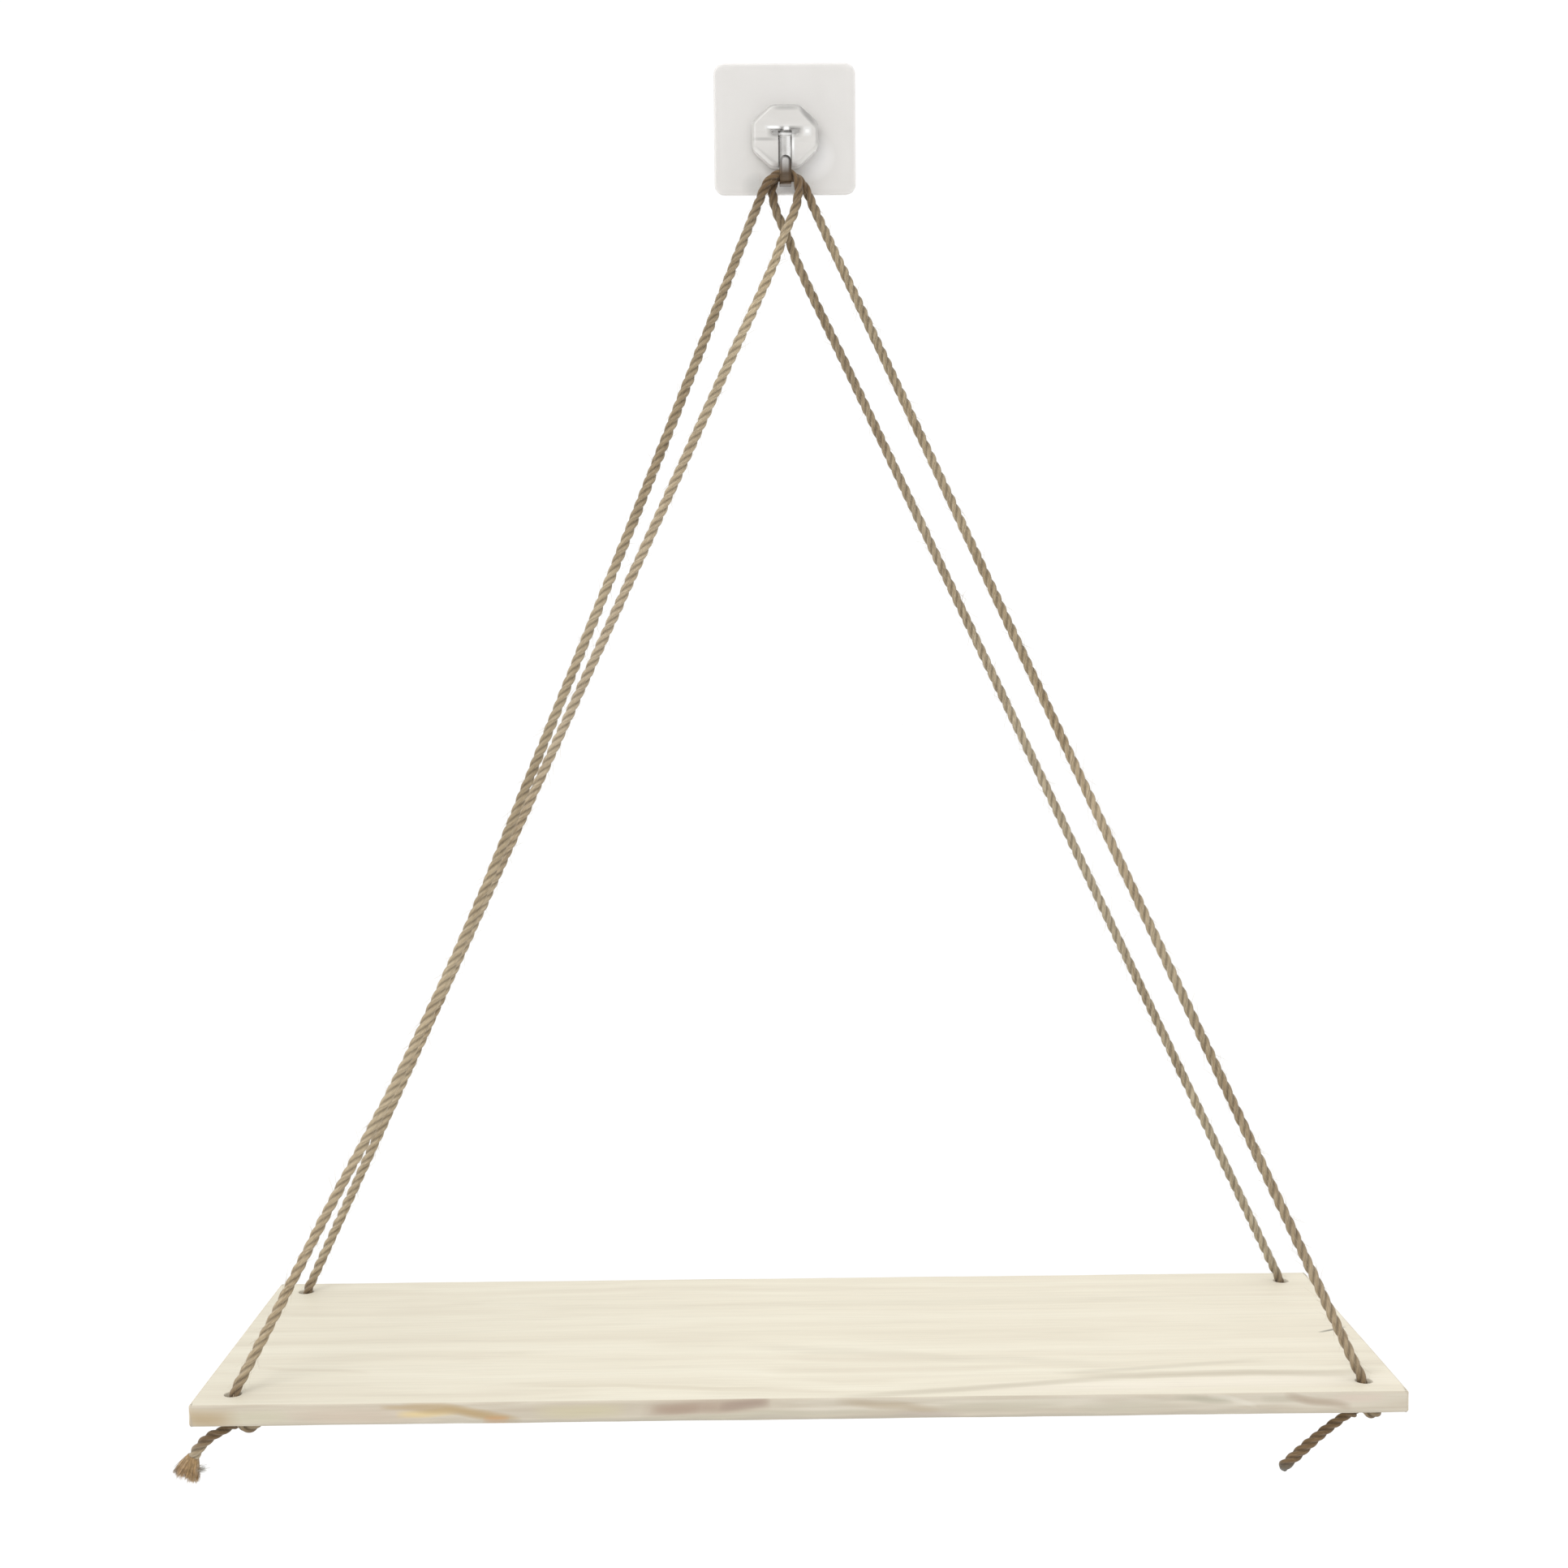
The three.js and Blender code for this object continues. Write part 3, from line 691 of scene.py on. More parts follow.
# The left end is a shade darker than the right
lengthwise_tones = [(0.0, (0.93, 0.93, 0.93)), (0.5, (1.0, 1.0, 1.0)), (1.0, (1.025, 1.02, 1.02))]
# Tones of the sawn edges, darkened with painted shade
sawn_shade_tones = [(0.3, (0.49, 0.43, 0.34)), (0.5, (0.55, 0.495, 0.40)), (0.7, (0.62, 0.57, 0.475))]
end_ring_tones = [(0.2, (0.66, 0.585, 0.45)), (0.9, (0.52, 0.43, 0.30))]
# The plank's own marks, in millimetres from its middle: middle, half length, half width, slope,
# strength and tone, as seen on the top (along and back) and on the front edge (along and up)
top_marks = [
    ((150, -63), 85, 8, 0.03, 0.7, (0.80, 0.745, 0.635)),
    ((70, -65), 60, 3.4, 0.17, 0.8, (0.55, 0.50, 0.395)),
    ((160, -53.5), 60, 4.2, 0.0, 0.85, (0.54, 0.485, 0.38)),
    ((138, -45), 44, 2.8, 0.155, 0.6, (0.58, 0.53, 0.42)),
    ((50, -28.5), 75, 5.5, -0.2, 0.45, (0.61, 0.56, 0.45)),
    ((-59, -60.5), 52, 2.6, -0.1, 0.5, (0.58, 0.52, 0.40)),
    ((-190, -37), 26, 2.4, -0.16, 0.5, (0.56, 0.50, 0.39)),
    ((40, 38), 150, 6, 0.02, 0.35, (0.62, 0.57, 0.455)),
    ((214.4, -3.8), 7, 1.1, 0.5, 0.95, (0.24, 0.225, 0.18)),
]
front_marks = [
    ((-216, -0.6), 13, 4.6, 0.0, 0.9, (0.43, 0.335, 0.205)),
    ((-224.8, 0), 3, 8, 0.0, 0.8, (0.38, 0.33, 0.27)),
    ((-198, -0.5), 10, 3.4, 0.0, 0.6, (0.53, 0.50, 0.37)),
    ((-162, 0), 28, 4, 0.0, 0.6, (0.54, 0.45, 0.36)),
    ((-138, 0.2), 9, 1.7, 0.0, 0.85, (0.66, 0.52, 0.27)),
    ((-124, -0.2), 21, 2.2, -0.18, 0.95, (0.43, 0.315, 0.17)),
    ((-143, 2.7), 10, 1.2, -0.03, 0.85, (0.46, 0.36, 0.23)),
    ((-114, -3.1), 5, 2, 0.0, 0.85, (0.52, 0.31, 0.155)),
    ((-82, 0), 17, 3.2, 0.0, 0.6, (0.55, 0.50, 0.33)),
    ((-37, 1.2), 23, 3.4, 0.045, 0.95, (0.40, 0.315, 0.245)),
    ((-47, 0.5), 10, 2.2, 0.03, 0.7, (0.36, 0.27, 0.205)),
    ((-22, 1.9), 7, 2.2, 0.04, 0.75, (0.33, 0.25, 0.20)),
    ((-17, -2), 50, 1.4, 0.02, 0.6, (0.46, 0.43, 0.335)),
    ((33, 0.9), 20, 2, -0.1, 0.7, (0.42, 0.345, 0.245)),
    ((48, -2.6), 16, 1.4, 0.0, 0.7, (0.46, 0.395, 0.34)),
    ((77, 0.7), 26, 2.6, 0.0, 0.6, (0.52, 0.485, 0.385)),
    ((118, -0.4), 20, 2.8, 0.03, 0.6, (0.50, 0.465, 0.37)),
    ((146, 1.4), 9, 1.7, -0.12, 0.85, (0.44, 0.41, 0.32)),
    ((156, 0.7), 9, 1.2, -0.25, 0.5, (0.68, 0.64, 0.55)),
    ((176, 1.6), 10, 1.6, 0.03, 0.7, (0.48, 0.44, 0.35)),
    ((191, 0.8), 13, 1.9, -0.2, 0.9, (0.42, 0.345, 0.265)),
    ((205, 1.6), 10, 2, 0.0, 0.6, (0.60, 0.50, 0.42)),
    ((0, -3.5), 235, 1.1, 0.0, 0.6, (0.40, 0.365, 0.30)),
]


def board_rings():
    """The plank's outline at heights through its thickness. Its edges are eased by an inset that three sines
    of the place along them make uneven."""
    rings = []
    for inset, height in eased_stations(board_low.z, board_high.z, board_edge, 6):
        outline = rounded_outline(board_size.x, board_size.y, board_corner, 8, 60)
        near_side = np.abs(outline) / (board_size.x, board_size.y)
        on_end = near_side[:, :1] > near_side[:, 1:]
        inward = np.where(on_end, [1, 0], [0, 1]) * -np.sign(outline)
        x, y = outline.T
        wander = sum(share * np.sin(by_x * x + by_y * y + start) for share, by_x, by_y, start in edge_waves)
        outline = outline + inward * (inset * (1 + wander))[:, None] + (board_middle.x, board_middle.y)
        rings.append(np.column_stack([outline, np.full(len(outline), height)]))
    return np.array(rings)


def hole_cutter(x, y):
    """A round cutter along Z that flares at both faces of the board, for the holes' broken rims."""
    flare = hole_radius + hole_rim + hole_overrun
    profile = np.array([
        (flare, board_low.z - hole_overrun),
        (hole_radius, board_low.z + hole_rim),
        (hole_radius, board_high.z - hole_rim),
        (flare, board_high.z + hole_overrun),
    ])
    return new_piece("hole", *closed_rings(turned(profile, (x, y), 40)), None)


def add_marks(nodes, tone, plane, where, wood_marks):
    """Lays each mark's tone over the wood, only where a face's own mask allows it."""
    for middle, half_length, half_width, slope, strength, colour in wood_marks:
        mask = add_mark(nodes, plane, middle, half_length, half_width, slope, strength)
        tone = nodes.mix(nodes.times(mask, where), tone, colour)
    return tone


def make_wood():
    """Pale softwood with broad soft figure: a noise stretched along the grain, whose bands bend with a slow
    wander. The marks lie over it, and the sawn ends show arcs of growth rings, a sine of the distance from
    the pith."""
    material, nodes, shader = new_material("bare_pale_wood", Specular_IOR_Level=0.3)
    centred = nodes.stretch(nodes.coordinates(), (1, 1, 1), tuple(-board_middle))
    axes = nodes.axes(centred)
    wander = nodes.noise(nodes.stretch(centred, (5, 16, 16)), 1.0, 2.0)
    bent_y = nodes.math("MULTIPLY_ADD", wander, 0.045, third=axes[1])
    bent_z = nodes.math("MULTIPLY_ADD", wander, -0.02, third=axes[2])
    bent = {0: nodes.times(axes[0], 0.05), 1: bent_y, 2: bent_z}
    bent = nodes.add("ShaderNodeCombineXYZ", bent).outputs[0]
    rings = nodes.noise(nodes.stretch(bent, (6, 95, 260)), 1.0, 2.0, 0.45)
    lengthwise = nodes.remap(axes[0], -board_size.x / 2, board_size.x / 2)
    tone = nodes.ramp(rings, wood_tones)
    tone = nodes.mix(1.0, tone, nodes.ramp(lengthwise, lengthwise_tones), "MULTIPLY")

    # The marks waver a little, so that none is a plain ellipse
    sway = nodes.minus(nodes.noise(nodes.stretch(centred, (22, 14, 14)), 1.0, 2.0), 0.5)
    along = nodes.math("MULTIPLY_ADD", sway, 0.03, third=axes[0])
    back = nodes.math("MULTIPLY_ADD", sway, 0.007, third=axes[1])
    up = nodes.math("MULTIPLY_ADD", sway, 0.005, third=axes[2])
    on_top = nodes.math("GREATER_THAN", axes[2], 0.0)
    tone = add_marks(nodes, tone, (along, back), on_top, top_marks)

    # The sawn edges are greyer and darker with painted shade, with soft figure of their own
    half_depth = board_size.y / 2
    edge = nodes.remap(nodes.math("ABSOLUTE", axes[1]), half_depth - sawn_from, half_depth - sawn_full)
    figure = nodes.noise(nodes.stretch(centred, (16, 10, 260)), 1.0, 2.0, 0.5, 0.6)
    on_front = nodes.math("LESS_THAN", axes[1], 0.0)
    edge_tone = add_marks(nodes, nodes.ramp(figure, sawn_shade_tones), (along, up), on_front, front_marks)
    tone = nodes.mix(edge, tone, edge_tone)

    half_width = board_size.x / 2
    end = nodes.remap(nodes.math("ABSOLUTE", axes[0]), half_width - sawn_from, half_width - sawn_full)
    from_pith = nodes.measure("LENGTH", nodes.stretch(bent, (0, 1, 1), (0, -0.03, 0.05)))
    arcs = nodes.math("SINE", nodes.times(from_pith, 2600.0))
    tone = nodes.mix(end, tone, nodes.ramp(nodes.remap(arcs, -1.0, 1.0), end_ring_tones))

    fine = nodes.noise(nodes.stretch(centred, (26, 900, 900)), 1.0, 4.0, 0.6)
    tone = nodes.shade(tone, nodes.remap(fine, 0.25, 0.55, 0.93, 1.0))
    height = nodes.plus(nodes.times(fine, 0.6), nodes.times(rings, 0.4))
    rough = nodes.remap(fine, 0.3, 0.7, 0.62, 0.5)
    nodes.join(shader, Base_Color=tone, Roughness=rough, Normal=nodes.bump(height, 0.2, 0.3 * MM))
    return material


board = new_piece("planed_board", *closed_rings(board_rings()), make_wood(), smooth=False)
for x in (-hole_x, hole_x):
    for y in (rear_hole_y, front_hole_y):
        carve(board, hole_cutter(x, y))
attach(board, "sling")
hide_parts("shelf_board")

# Ropes
# Two lengths of three-strand jute rope. Each comes up through its rear hole, crosses under the hook, goes
# over it in its own lane and down to its front hole. The left one's front strand hangs a little slack.

strand_shares = np.array([0.015, 0.06, 0.16, 0.29, 0.42, 0.54, 0.66, 0.78, 0.9])
slack_shares = np.array([0.04, 0.18, 0.44, 0.86, 1, 0.84, 0.66, 0.46, 0.2])
inner_fall_shares = [(0.95, 0.25), (0.77, 0.49), (0.43, 0.75)]
spread_shares = (0.93, 1.71)
inner_bend = 5.6 * MM
outer_bend = 9.3 * MM
crossing_drop = 19.5 * MM
lane_hold_drop = 10 * MM
hole_rise = 1 * MM
rope_end_in_hole = 2 * MM
lean_in_hole = 0.9 * MM
slack_drop = 25 * MM
bend_spans = 4
rope_lay = 15 * MM
rope_step = 0.8 * MM
rope_unevenness = 0.018
hook_pivot_z = trough_bottom - strip_thickness / 2
back_lane = -(bar_out + strip_thickness / 2 + touch_gap + rope_diameter / 2)
front_lane = back_lane - rope_diameter - touch_gap
bend_clearance = inner_bend - rope_diameter / 2 - touch_gap
bend_top_z = trough_bottom + inner_bend - math.sqrt(bend_clearance**2 - (strip_width / 2) ** 2)
# The left rope hangs slacker, so it is a little fuller away from the hook and the board
left_fullness = [(0.0, 1.0), (0.12, 1.08), (0.40, 1.08), (0.46, 1.0), (0.54, 1.0), (0.60, 1.08), (0.80, 1.0)]
jute_tones = [
    (0.33, (0.19, 0.135, 0.08)), (0.45, (0.32, 0.245, 0.155)),
    (0.56, (0.44, 0.355, 0.235)), (0.70, (0.62, 0.53, 0.39)),
]
yarn_slant = 260.0
yarn_fineness = 6.0
jute_region_tone = (0.50, 0.43, 0.31)
# Painted shade of the rope near the hook and at and under the board
jute_shade_tone = (0.40, 0.31, 0.23)
grey_tip_tone = (0.13, 0.13, 0.115)
# The ropes are this much paler than their knots, where the painted shade along them doesn't darken them. The
# painted light and shade along each rope is given as share of the length from the rear hole, and tone
paleness_share = 1.2
left_light_and_shade = [
    (0.05, (1.02, 1.02, 1.02)), (0.30, (1.05, 1.04, 1.06)), (0.44, (1.18, 1.18, 1.16)),
    (0.50, (0.85, 0.83, 0.80)), (0.56, (0.76, 0.72, 0.66)), (0.63, (0.78, 0.74, 0.68)),
    (0.69, (0.97, 0.95, 0.92)), (0.75, (0.80, 0.77, 0.72)), (0.84, (1.02, 1.0, 0.97)),
]
right_light_and_shade = [
    (0.05, (0.97, 1.0, 1.03)), (0.26, (0.98, 1.0, 1.02)), (0.33, (0.84, 0.82, 0.80)),
    (0.39, (0.84, 0.82, 0.80)), (0.43, (0.66, 0.62, 0.57)), (0.51, (0.90, 0.88, 0.84)),
    (0.57, (0.74, 0.72, 0.68)), (0.61, (0.86, 0.84, 0.80)), (0.72, (0.82, 0.79, 0.74)),
    (0.78, (0.96, 0.93, 0.90)), (0.86, (0.80, 0.78, 0.74)), (0.97, (0.86, 0.82, 0.78)),
]
# Heights over which painted shade browns the jute, from not at all to fully: on the hook and at the board.
# The painted shade spares the knots, the first stretch of each tied rope, and the lower part of the left tail
hook_shade_z = (-44 * MM, -27 * MM)
board_shade_z = (board_high.z + 9 * MM, board_high.z - 2 * MM)
knot_pale_z = (board_low.z - 7 * MM, board_low.z - 4 * MM)
knot_pale_run = (60 * MM, 50 * MM)
left_pale_z = (board_low.z - 9 * MM, board_low.z - 15 * MM)
grey_tip_z = (board_low.z - 22 * MM, board_low.z - 25 * MM)


def strand(start, end, slack):
    """Points along the straight line from start to end, let down by the slack's share at each."""
    points = start + strand_shares[:, None] * (end - start)
    points[:, 2] -= slack * slack_shares
    return points


def rope_points(side, lane, slack):
    """The rope's route from its rear hole to its front hole: side is -1 for the left rope, 1 for the right.
    Over the hook it bends closely on the inner strand's side and widely on the outer one's."""
    here = np.array([side, 1, 1])
    rear = here * (hole_x - lean_in_hole, rear_hole_y, board_high.z + hole_rise)
    front = here * (hole_x - lean_in_hole, front_hole_y, board_high.z + hole_rise)

    def in_hole(y):
        """Two points up through a hole, the upper one leaning towards the middle."""
        heights = np.array([board_low.z + rope_end_in_hole, board_high.z])
        return here * np.stack([[hole_x, hole_x - 0.8 * lean_in_hole], np.full(2, y), heights], 1)

    def near_crossing(across, drop, way):
        """A point in the lane by its shares of the bend's radius and of the crossing's drop."""
        return here * (way * across * inner_bend, lane, hook_pivot_z - drop * crossing_drop)

    def bend(angle, radius):
        """Points of an arc over the hook, at angles from its top."""
        height = bend_top_z - radius + radius * np.cos(angle)
        return here * np.stack([radius * np.sin(angle), np.full(len(angle), lane), height], 1)

    spread = near_crossing(*spread_shares, 1)
    fall = [near_crossing(*shares, -1) for shares in inner_fall_shares[::-1]]
    middle_z = bend_top_z - outer_bend
    lean = math.atan2(hole_x - outer_bend, middle_z - board_high.z)
    step = np.arange(bend_spans + 1) / bend_spans
    leave_x = outer_bend * math.cos(lean)
    leave_z = middle_z + outer_bend * math.sin(lean)
    held_z = hook_pivot_z - lane_hold_drop
    held = here * (leave_x + (leave_z - held_z) * math.tan(lean), lane, held_z)
    return np.concatenate([
        in_hole(rear_hole_y), [rear], strand(rear, spread, 0), [spread, near_crossing(0, 1, 1)], fall,
        bend(math.pi / 2 * (step - 1), inner_bend), bend((math.pi / 2 - lean) * step[1:], outer_bend), [held],
        strand(front, held, slack)[::-1], [front], in_hole(front_hole_y)[::-1],
    ])


def smooth_line(points, step):
    """A centripetal Catmull-Rom curve through the points, cut into equal steps of arc length: cubic spans
    whose slope at each point comes from its neighbours, weighed by the roots of their distances."""
    around = np.concatenate([[2 * points[0] - points[1]], points, [2 * points[-1] - points[-2]]])
    a, b, c, d = around[:-3], around[1:-2], around[2:-1], around[3:]
    ab, bc, cd = (np.sqrt(np.linalg.norm(q - p, axis=1))[:, None] for p, q in ((a, b), (b, c), (c, d)))
    leave = ((b - a) / ab - (c - a) / (ab + bc) + (c - b) / bc) * bc
    arrive = ((c - b) / bc - (d - b) / (bc + cd) + (d - c) / cd) * bc
    t = np.linspace(0, 1, 24, endpoint=False)[None, :, None]
    b, c, leave, arrive = b[:, None], c[:, None], leave[:, None], arrive[:, None]
    curve = (2 * t**3 - 3 * t**2 + 1) * b + (t**3 - 2 * t**2 + t) * leave
    curve = curve + (3 * t**2 - 2 * t**3) * c + (t**3 - t**2) * arrive
    curve = np.concatenate([curve.reshape(-1, 3), points[-1:]])
    length = np.concatenate([[0], np.linalg.norm(np.diff(curve, axis=0), axis=1).cumsum()])
    stations = np.linspace(0, length[-1], int(round(length[-1] / step)) + 1)
    return np.stack([np.interp(stations, length, curve[:, i]) for i in range(3)], 1), stations


def carried_frame(line):
    """Two directions square to the line at each point, carried along it without twist: each is the one
    before, less its part along the line."""
    along = unit(np.gradient(line, axis=0))
    aside = np.zeros_like(line)
    kept = np.cross(along[0], (0.3, 1, 0.2))
    for i, way in enumerate(along):
        kept = unit(kept - kept.dot(way) * way)
        aside[i] = kept
    return aside, np.cross(along, aside)


def laid_rope(line, stations, diameter, lay, swell, phase=0.0, taper=1.0):
    """Three round strands laid about the line: the radius is that of the strand which reaches out furthest,
    and the ring turns once in each lay length. Slow sines of the arc length make the yarn uneven."""
    around = 36
    centre_share, strand_share = 0.23, 0.275
    slow, quick = 410, 977
    theta = np.arange(around) * 2 * math.pi / around
    off = (theta + math.pi / 3) % (2 * math.pi / 3) - math.pi / 3
    radius = centre_share * np.cos(off) + np.sqrt(strand_share**2 - (centre_share * np.sin(off)) ** 2)
    uneven = 1 + swell * (np.sin(stations * slow + phase) + 0.7 * np.sin(stations * quick + 2 * phase))
    size = diameter * uneven * taper
    turn = theta[None, :] + 2 * math.pi * stations[:, None] / lay + phase
    aside, over = carried_frame(line)
    reach = radius[None, :] * size[:, None]
    rings = line[:, None] + (reach * np.cos(turn))[..., None] * aside[:, None]
    rings = rings + (reach * np.sin(turn))[..., None] * over[:, None]
    share = np.broadcast_to(theta / (2 * math.pi), reach.shape)
    uv = np.stack([np.broadcast_to(stations[:, None], reach.shape), share], -1).reshape(-1, 2)
    return *closed_rings(rings), uv


# Yarn: fibres that run along a strand, read from the piece's own length and angle. The crown is 1 on top of
# a strand and 0 between two
yarn_inputs = ("Along", "Round", "Slant", "Fineness")
yarn, inside, given, made = new_group("yarn", yarn_inputs, ("Fibre", "Strand", "Crown"))
angle = inside.times(given["Round"], 2 * math.pi)
slanted = inside.plus(angle, inside.times(given["Along"], given["Slant"]))
wound = {
    0: inside.times(given["Along"], 60.0),
    1: inside.math("COSINE", slanted),
    2: inside.math("SINE", slanted),
}
wound = inside.add("ShaderNodeCombineXYZ", wound).outputs[0]
fibre = inside.noise(wound, given["Fineness"], 5.0, 0.62)
patch = inside.noise(inside.stretch(wound, (0.7, 0.5, 0.5)), 1.6, 2.0)
crown = inside.math("COSINE", inside.times(angle, 3.0))
crown = inside.math("MULTIPLY_ADD", crown, 0.5, third=0.5)
inside.join(made, Fibre=fibre, Strand=patch, Crown=crown)


def make_jute(name, light_and_shade=None, length=1.0):
    """Twisted jute, with painted shade between its strands. Its painted light and shade along the rope is a
    list of tones at shares of a rope's length, and without one it is the same all over."""
    material, nodes, shader = new_material(
        name, Specular_IOR_Level=0.2, Sheen_Weight=0.25, Sheen_Roughness=0.5
    )
    lift = paleness_share if light_and_shade else 1.0

    def lifted(colour):
        """A colour times the rope's paleness."""
        return tuple(lift * part for part in colour)

    run, round_share, _ = nodes.axes(nodes.coordinates("UV"))
    place = nodes.coordinates()
    values = dict(zip(yarn_inputs, (run, round_share, yarn_slant, yarn_fineness)))
    fibre, patch, crown = nodes.add("ShaderNodeGroup", values, node_tree=yarn).outputs
    blend = nodes.plus(nodes.times(fibre, 0.66), nodes.times(patch, 0.34))
    tone = nodes.ramp(blend, [(at, lifted(colour)) for at, colour in jute_tones])
    region = nodes.remap(nodes.noise(place, 16.0, 2.0), 0.35, 0.65, 0.0, 0.5)
    tone = nodes.mix(region, tone, lifted(jute_region_tone))
    # Painted light and shade along the rope, at shares of its length
    if light_and_shade:
        stops = [(at, tuple(part / lift for part in colour)) for at, colour in light_and_shade]
        tone = nodes.mix(1.0, tone, nodes.ramp(nodes.math("DIVIDE", run, length), stops), "MULTIPLY")
    # Painted shade between the strands, where the crown falls towards 0
    tone = nodes.shade(tone, nodes.remap(crown, 0.0, 0.6, 0.68, 1.0))

    axes = nodes.axes(place)
    height = axes[2]
    at_hook = nodes.remap(height, *hook_shade_z, 0.0, 0.95)
    at_board = nodes.remap(height, *board_shade_z, 0.0, 0.95)
    in_knot = nodes.remap(height, *knot_pale_z, 0.0, 0.85)
    in_knot = nodes.times(in_knot, nodes.remap(run, *knot_pale_run))
    in_knot = nodes.times(in_knot, nodes.math("LESS_THAN", height, board_low.z))
    low_left = nodes.remap(height, *left_pale_z, 0.0, 0.95)
    low_left = nodes.times(low_left, nodes.math("LESS_THAN", axes[0], 0.0))
    # Painted shade near the hook and at and under the board, which spares the knots and the lower left tail
    shade_share = nodes.most(at_hook, nodes.minus(at_board, nodes.most(in_knot, low_left)))
    tone = nodes.mix(shade_share, tone, jute_shade_tone, "MULTIPLY")
    tone = nodes.mix(nodes.remap(height, *grey_tip_z, 0.0, 0.7), tone, grey_tip_tone)
    rough = nodes.remap(fibre, 0.3, 0.7, 0.95, 0.8)
    nodes.join(shader, Base_Color=tone, Roughness=rough, Normal=nodes.bump(fibre, 0.7, 0.4 * MM))
    return material


rope_plans = [
    ("left", -1, front_lane, slack_drop, left_fullness, left_light_and_shade),
    ("right", 1, back_lane, 0.0, [(0.0, 1.0)], right_light_and_shade),
]
runs = {}
for name, side, lane, slack, fullness, light_and_shade in rope_plans:
    line, stations = smooth_line(rope_points(side, lane, slack), rope_step)
    length = float(stations[-1])
    taper = np.interp(stations / length, *np.transpose(fullness))
    verts, faces, uv = laid_rope(
        line, stations, rope_diameter, rope_lay, rope_unevenness, 1.3 * side, taper
    )
    piece = new_piece(f"{name}_jute_rope", verts, faces, make_jute(f"{name}_rope_jute", light_and_shade, length), uv)
    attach(piece, "sling")
    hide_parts(f"{name}_rope")
    runs[name] = (piece, line, length)

# Knots and tails
# Under each hole the rope is tied in an overhand knot and drawn tight against the board, which squeezes it
# thinner. Its tail hangs free: one straight and one curved at the front, and two short ones at the back.

knot_diameter = 3 * MM
knot_radius_share = 1.35
knot_wave_share = 0.62
knot_height_share = 1.1
knot_opening = 0.45
knot_rings = 44
knot_lay = 12 * MM
knot_step = 0.5 * MM
knot_unevenness = 0.02
knot_fullness_share = 1.06
knot_entry_shares = np.array([(0, 0, -0.22), (0.1, -0.3, -0.52), (0.46, -0.8, -0.68)])
tail_rounding = 1.8 * MM
tail_least_share = 0.2
# Each tail's route, in rope diameters from the middle of its hole under the board
tails = {
    "left_front": [
        (-1.05, 0.42, -1.6), (-2.1, 0.3, -2.05), (-2.98, 0.22, -2.75), (-3.58, 0.2, -3.5),
        (-3.95, 0.18, -4.15),
    ],
    "right_front": [
        (-1.5, 0.5, -1.5), (-2.85, 0.38, -2.35), (-4.25, 0.25, -3.4),
        (-5.55, 0.2, -4.5), (-6.75, 0.17, -5.55), (-7.75, 0.15, -6.45),
    ],
    "left_rear": [(-0.1, 0.1, -1.6), (-0.85, -0.35, -2), (-1.25, -0.55, -2.9), (-1.35, -0.6, -4)],
    "right_rear": [(0.15, 0.2, -1.7), (0.8, 0.1, -2.2), (1.1, 0, -3.1), (1.2, 0, -4.3)],
}
knot_turns = {"left_front": 1.12, "left_rear": -0.5, "right_front": 1.31, "right_rear": math.pi}
# How much thicker each tail swells as it loosens, and over what length before its end
tail_swell = {
    "left_front": (0.5, 17 * MM),
    "right_front": (0.42, 32 * MM),
    "left_rear": (0.2, 12 * MM),
    "right_rear": (0.2, 12 * MM),
}


def knot_points(name):
    """An open trefoil, flat under the board: a point circles twice while its distance and height wave three
    times. Its way in from the hole comes before it and its tail after it, about the hole's axis."""
    radius = knot_radius_share * knot_diameter
    wave = knot_wave_share * knot_diameter
    middle_z = -touch_gap - knot_height_share * wave - knot_diameter / 2
    t = np.linspace(knot_opening, 2 * math.pi - knot_opening, knot_rings + 1)
    out = radius + wave * np.cos(3 * t)
    height = middle_z + knot_height_share * wave * np.sin(3 * t)
    loop = np.stack([radius + wave - out * np.cos(2 * t), -out * np.sin(2 * t), height], 1)
    way = [[(0, 0, rope_end_in_hole - touch_gap)], knot_entry_shares * knot_diameter, loop]
    cosine, sine = math.cos(knot_turns[name]), math.sin(knot_turns[name])
    way = np.concatenate(way) @ np.array([(cosine, sine, 0), (-sine, cosine, 0), (0, 0, 1)])
    side, end = name.split("_")
    x = -hole_x if side == "left" else hole_x
    y = front_hole_y if end == "front" else rear_hole_y
    return np.concatenate([way, np.array(tails[name]) * rope_diameter]) + (x, y, board_low.z)


knot_jute = make_jute("twisted_jute")
knots = {}
for name in tails:
    line, stations = smooth_line(knot_points(name), knot_step)
    left = stations[-1] - stations
    most, swelling = tail_swell[name]
    swell = knot_fullness_share + most * np.clip(1 - left / swelling, 0, 1) ** 0.6
    taper = swell * round_end(left / tail_rounding, tail_least_share)
    verts, faces, uv = laid_rope(line, stations, knot_diameter, knot_lay, knot_unevenness, len(name), taper)
    piece = new_piece(f"{name}_overhand_knot", verts, faces, knot_jute, uv)
    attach(piece, "sling")
    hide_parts(f"{name}_knot")
    knots[name] = (piece, line)

# Frayed end
# The left rope's front tail isn't whipped, so its strands have opened into a short blunt brush of fibres,
# orange-brown inside, with one grey tuft at its side.

brush_fibres = 760
tuft_fibres = 80
brush_length = 9.2 * MM
brush_radius = 2.1 * MM
lobe_shares = (-0.55, 0.55)
lobe_scatter_share = 0.34
opening_share = 0.46
lean_share = 0.14
# The fibres between the lobes are this much shorter than the others
valley_share = 0.12
brush_depth = 0.8 * MM
brush_curl = 1.1 * MM
brush_scatter = 0.3 * MM
tuft_length = 4.6 * MM
tuft_drop = 3.9 * MM
tuft_aside = 2.4 * MM
tuft_scatter = 0.6 * MM
tuft_curl = 0.4 * MM
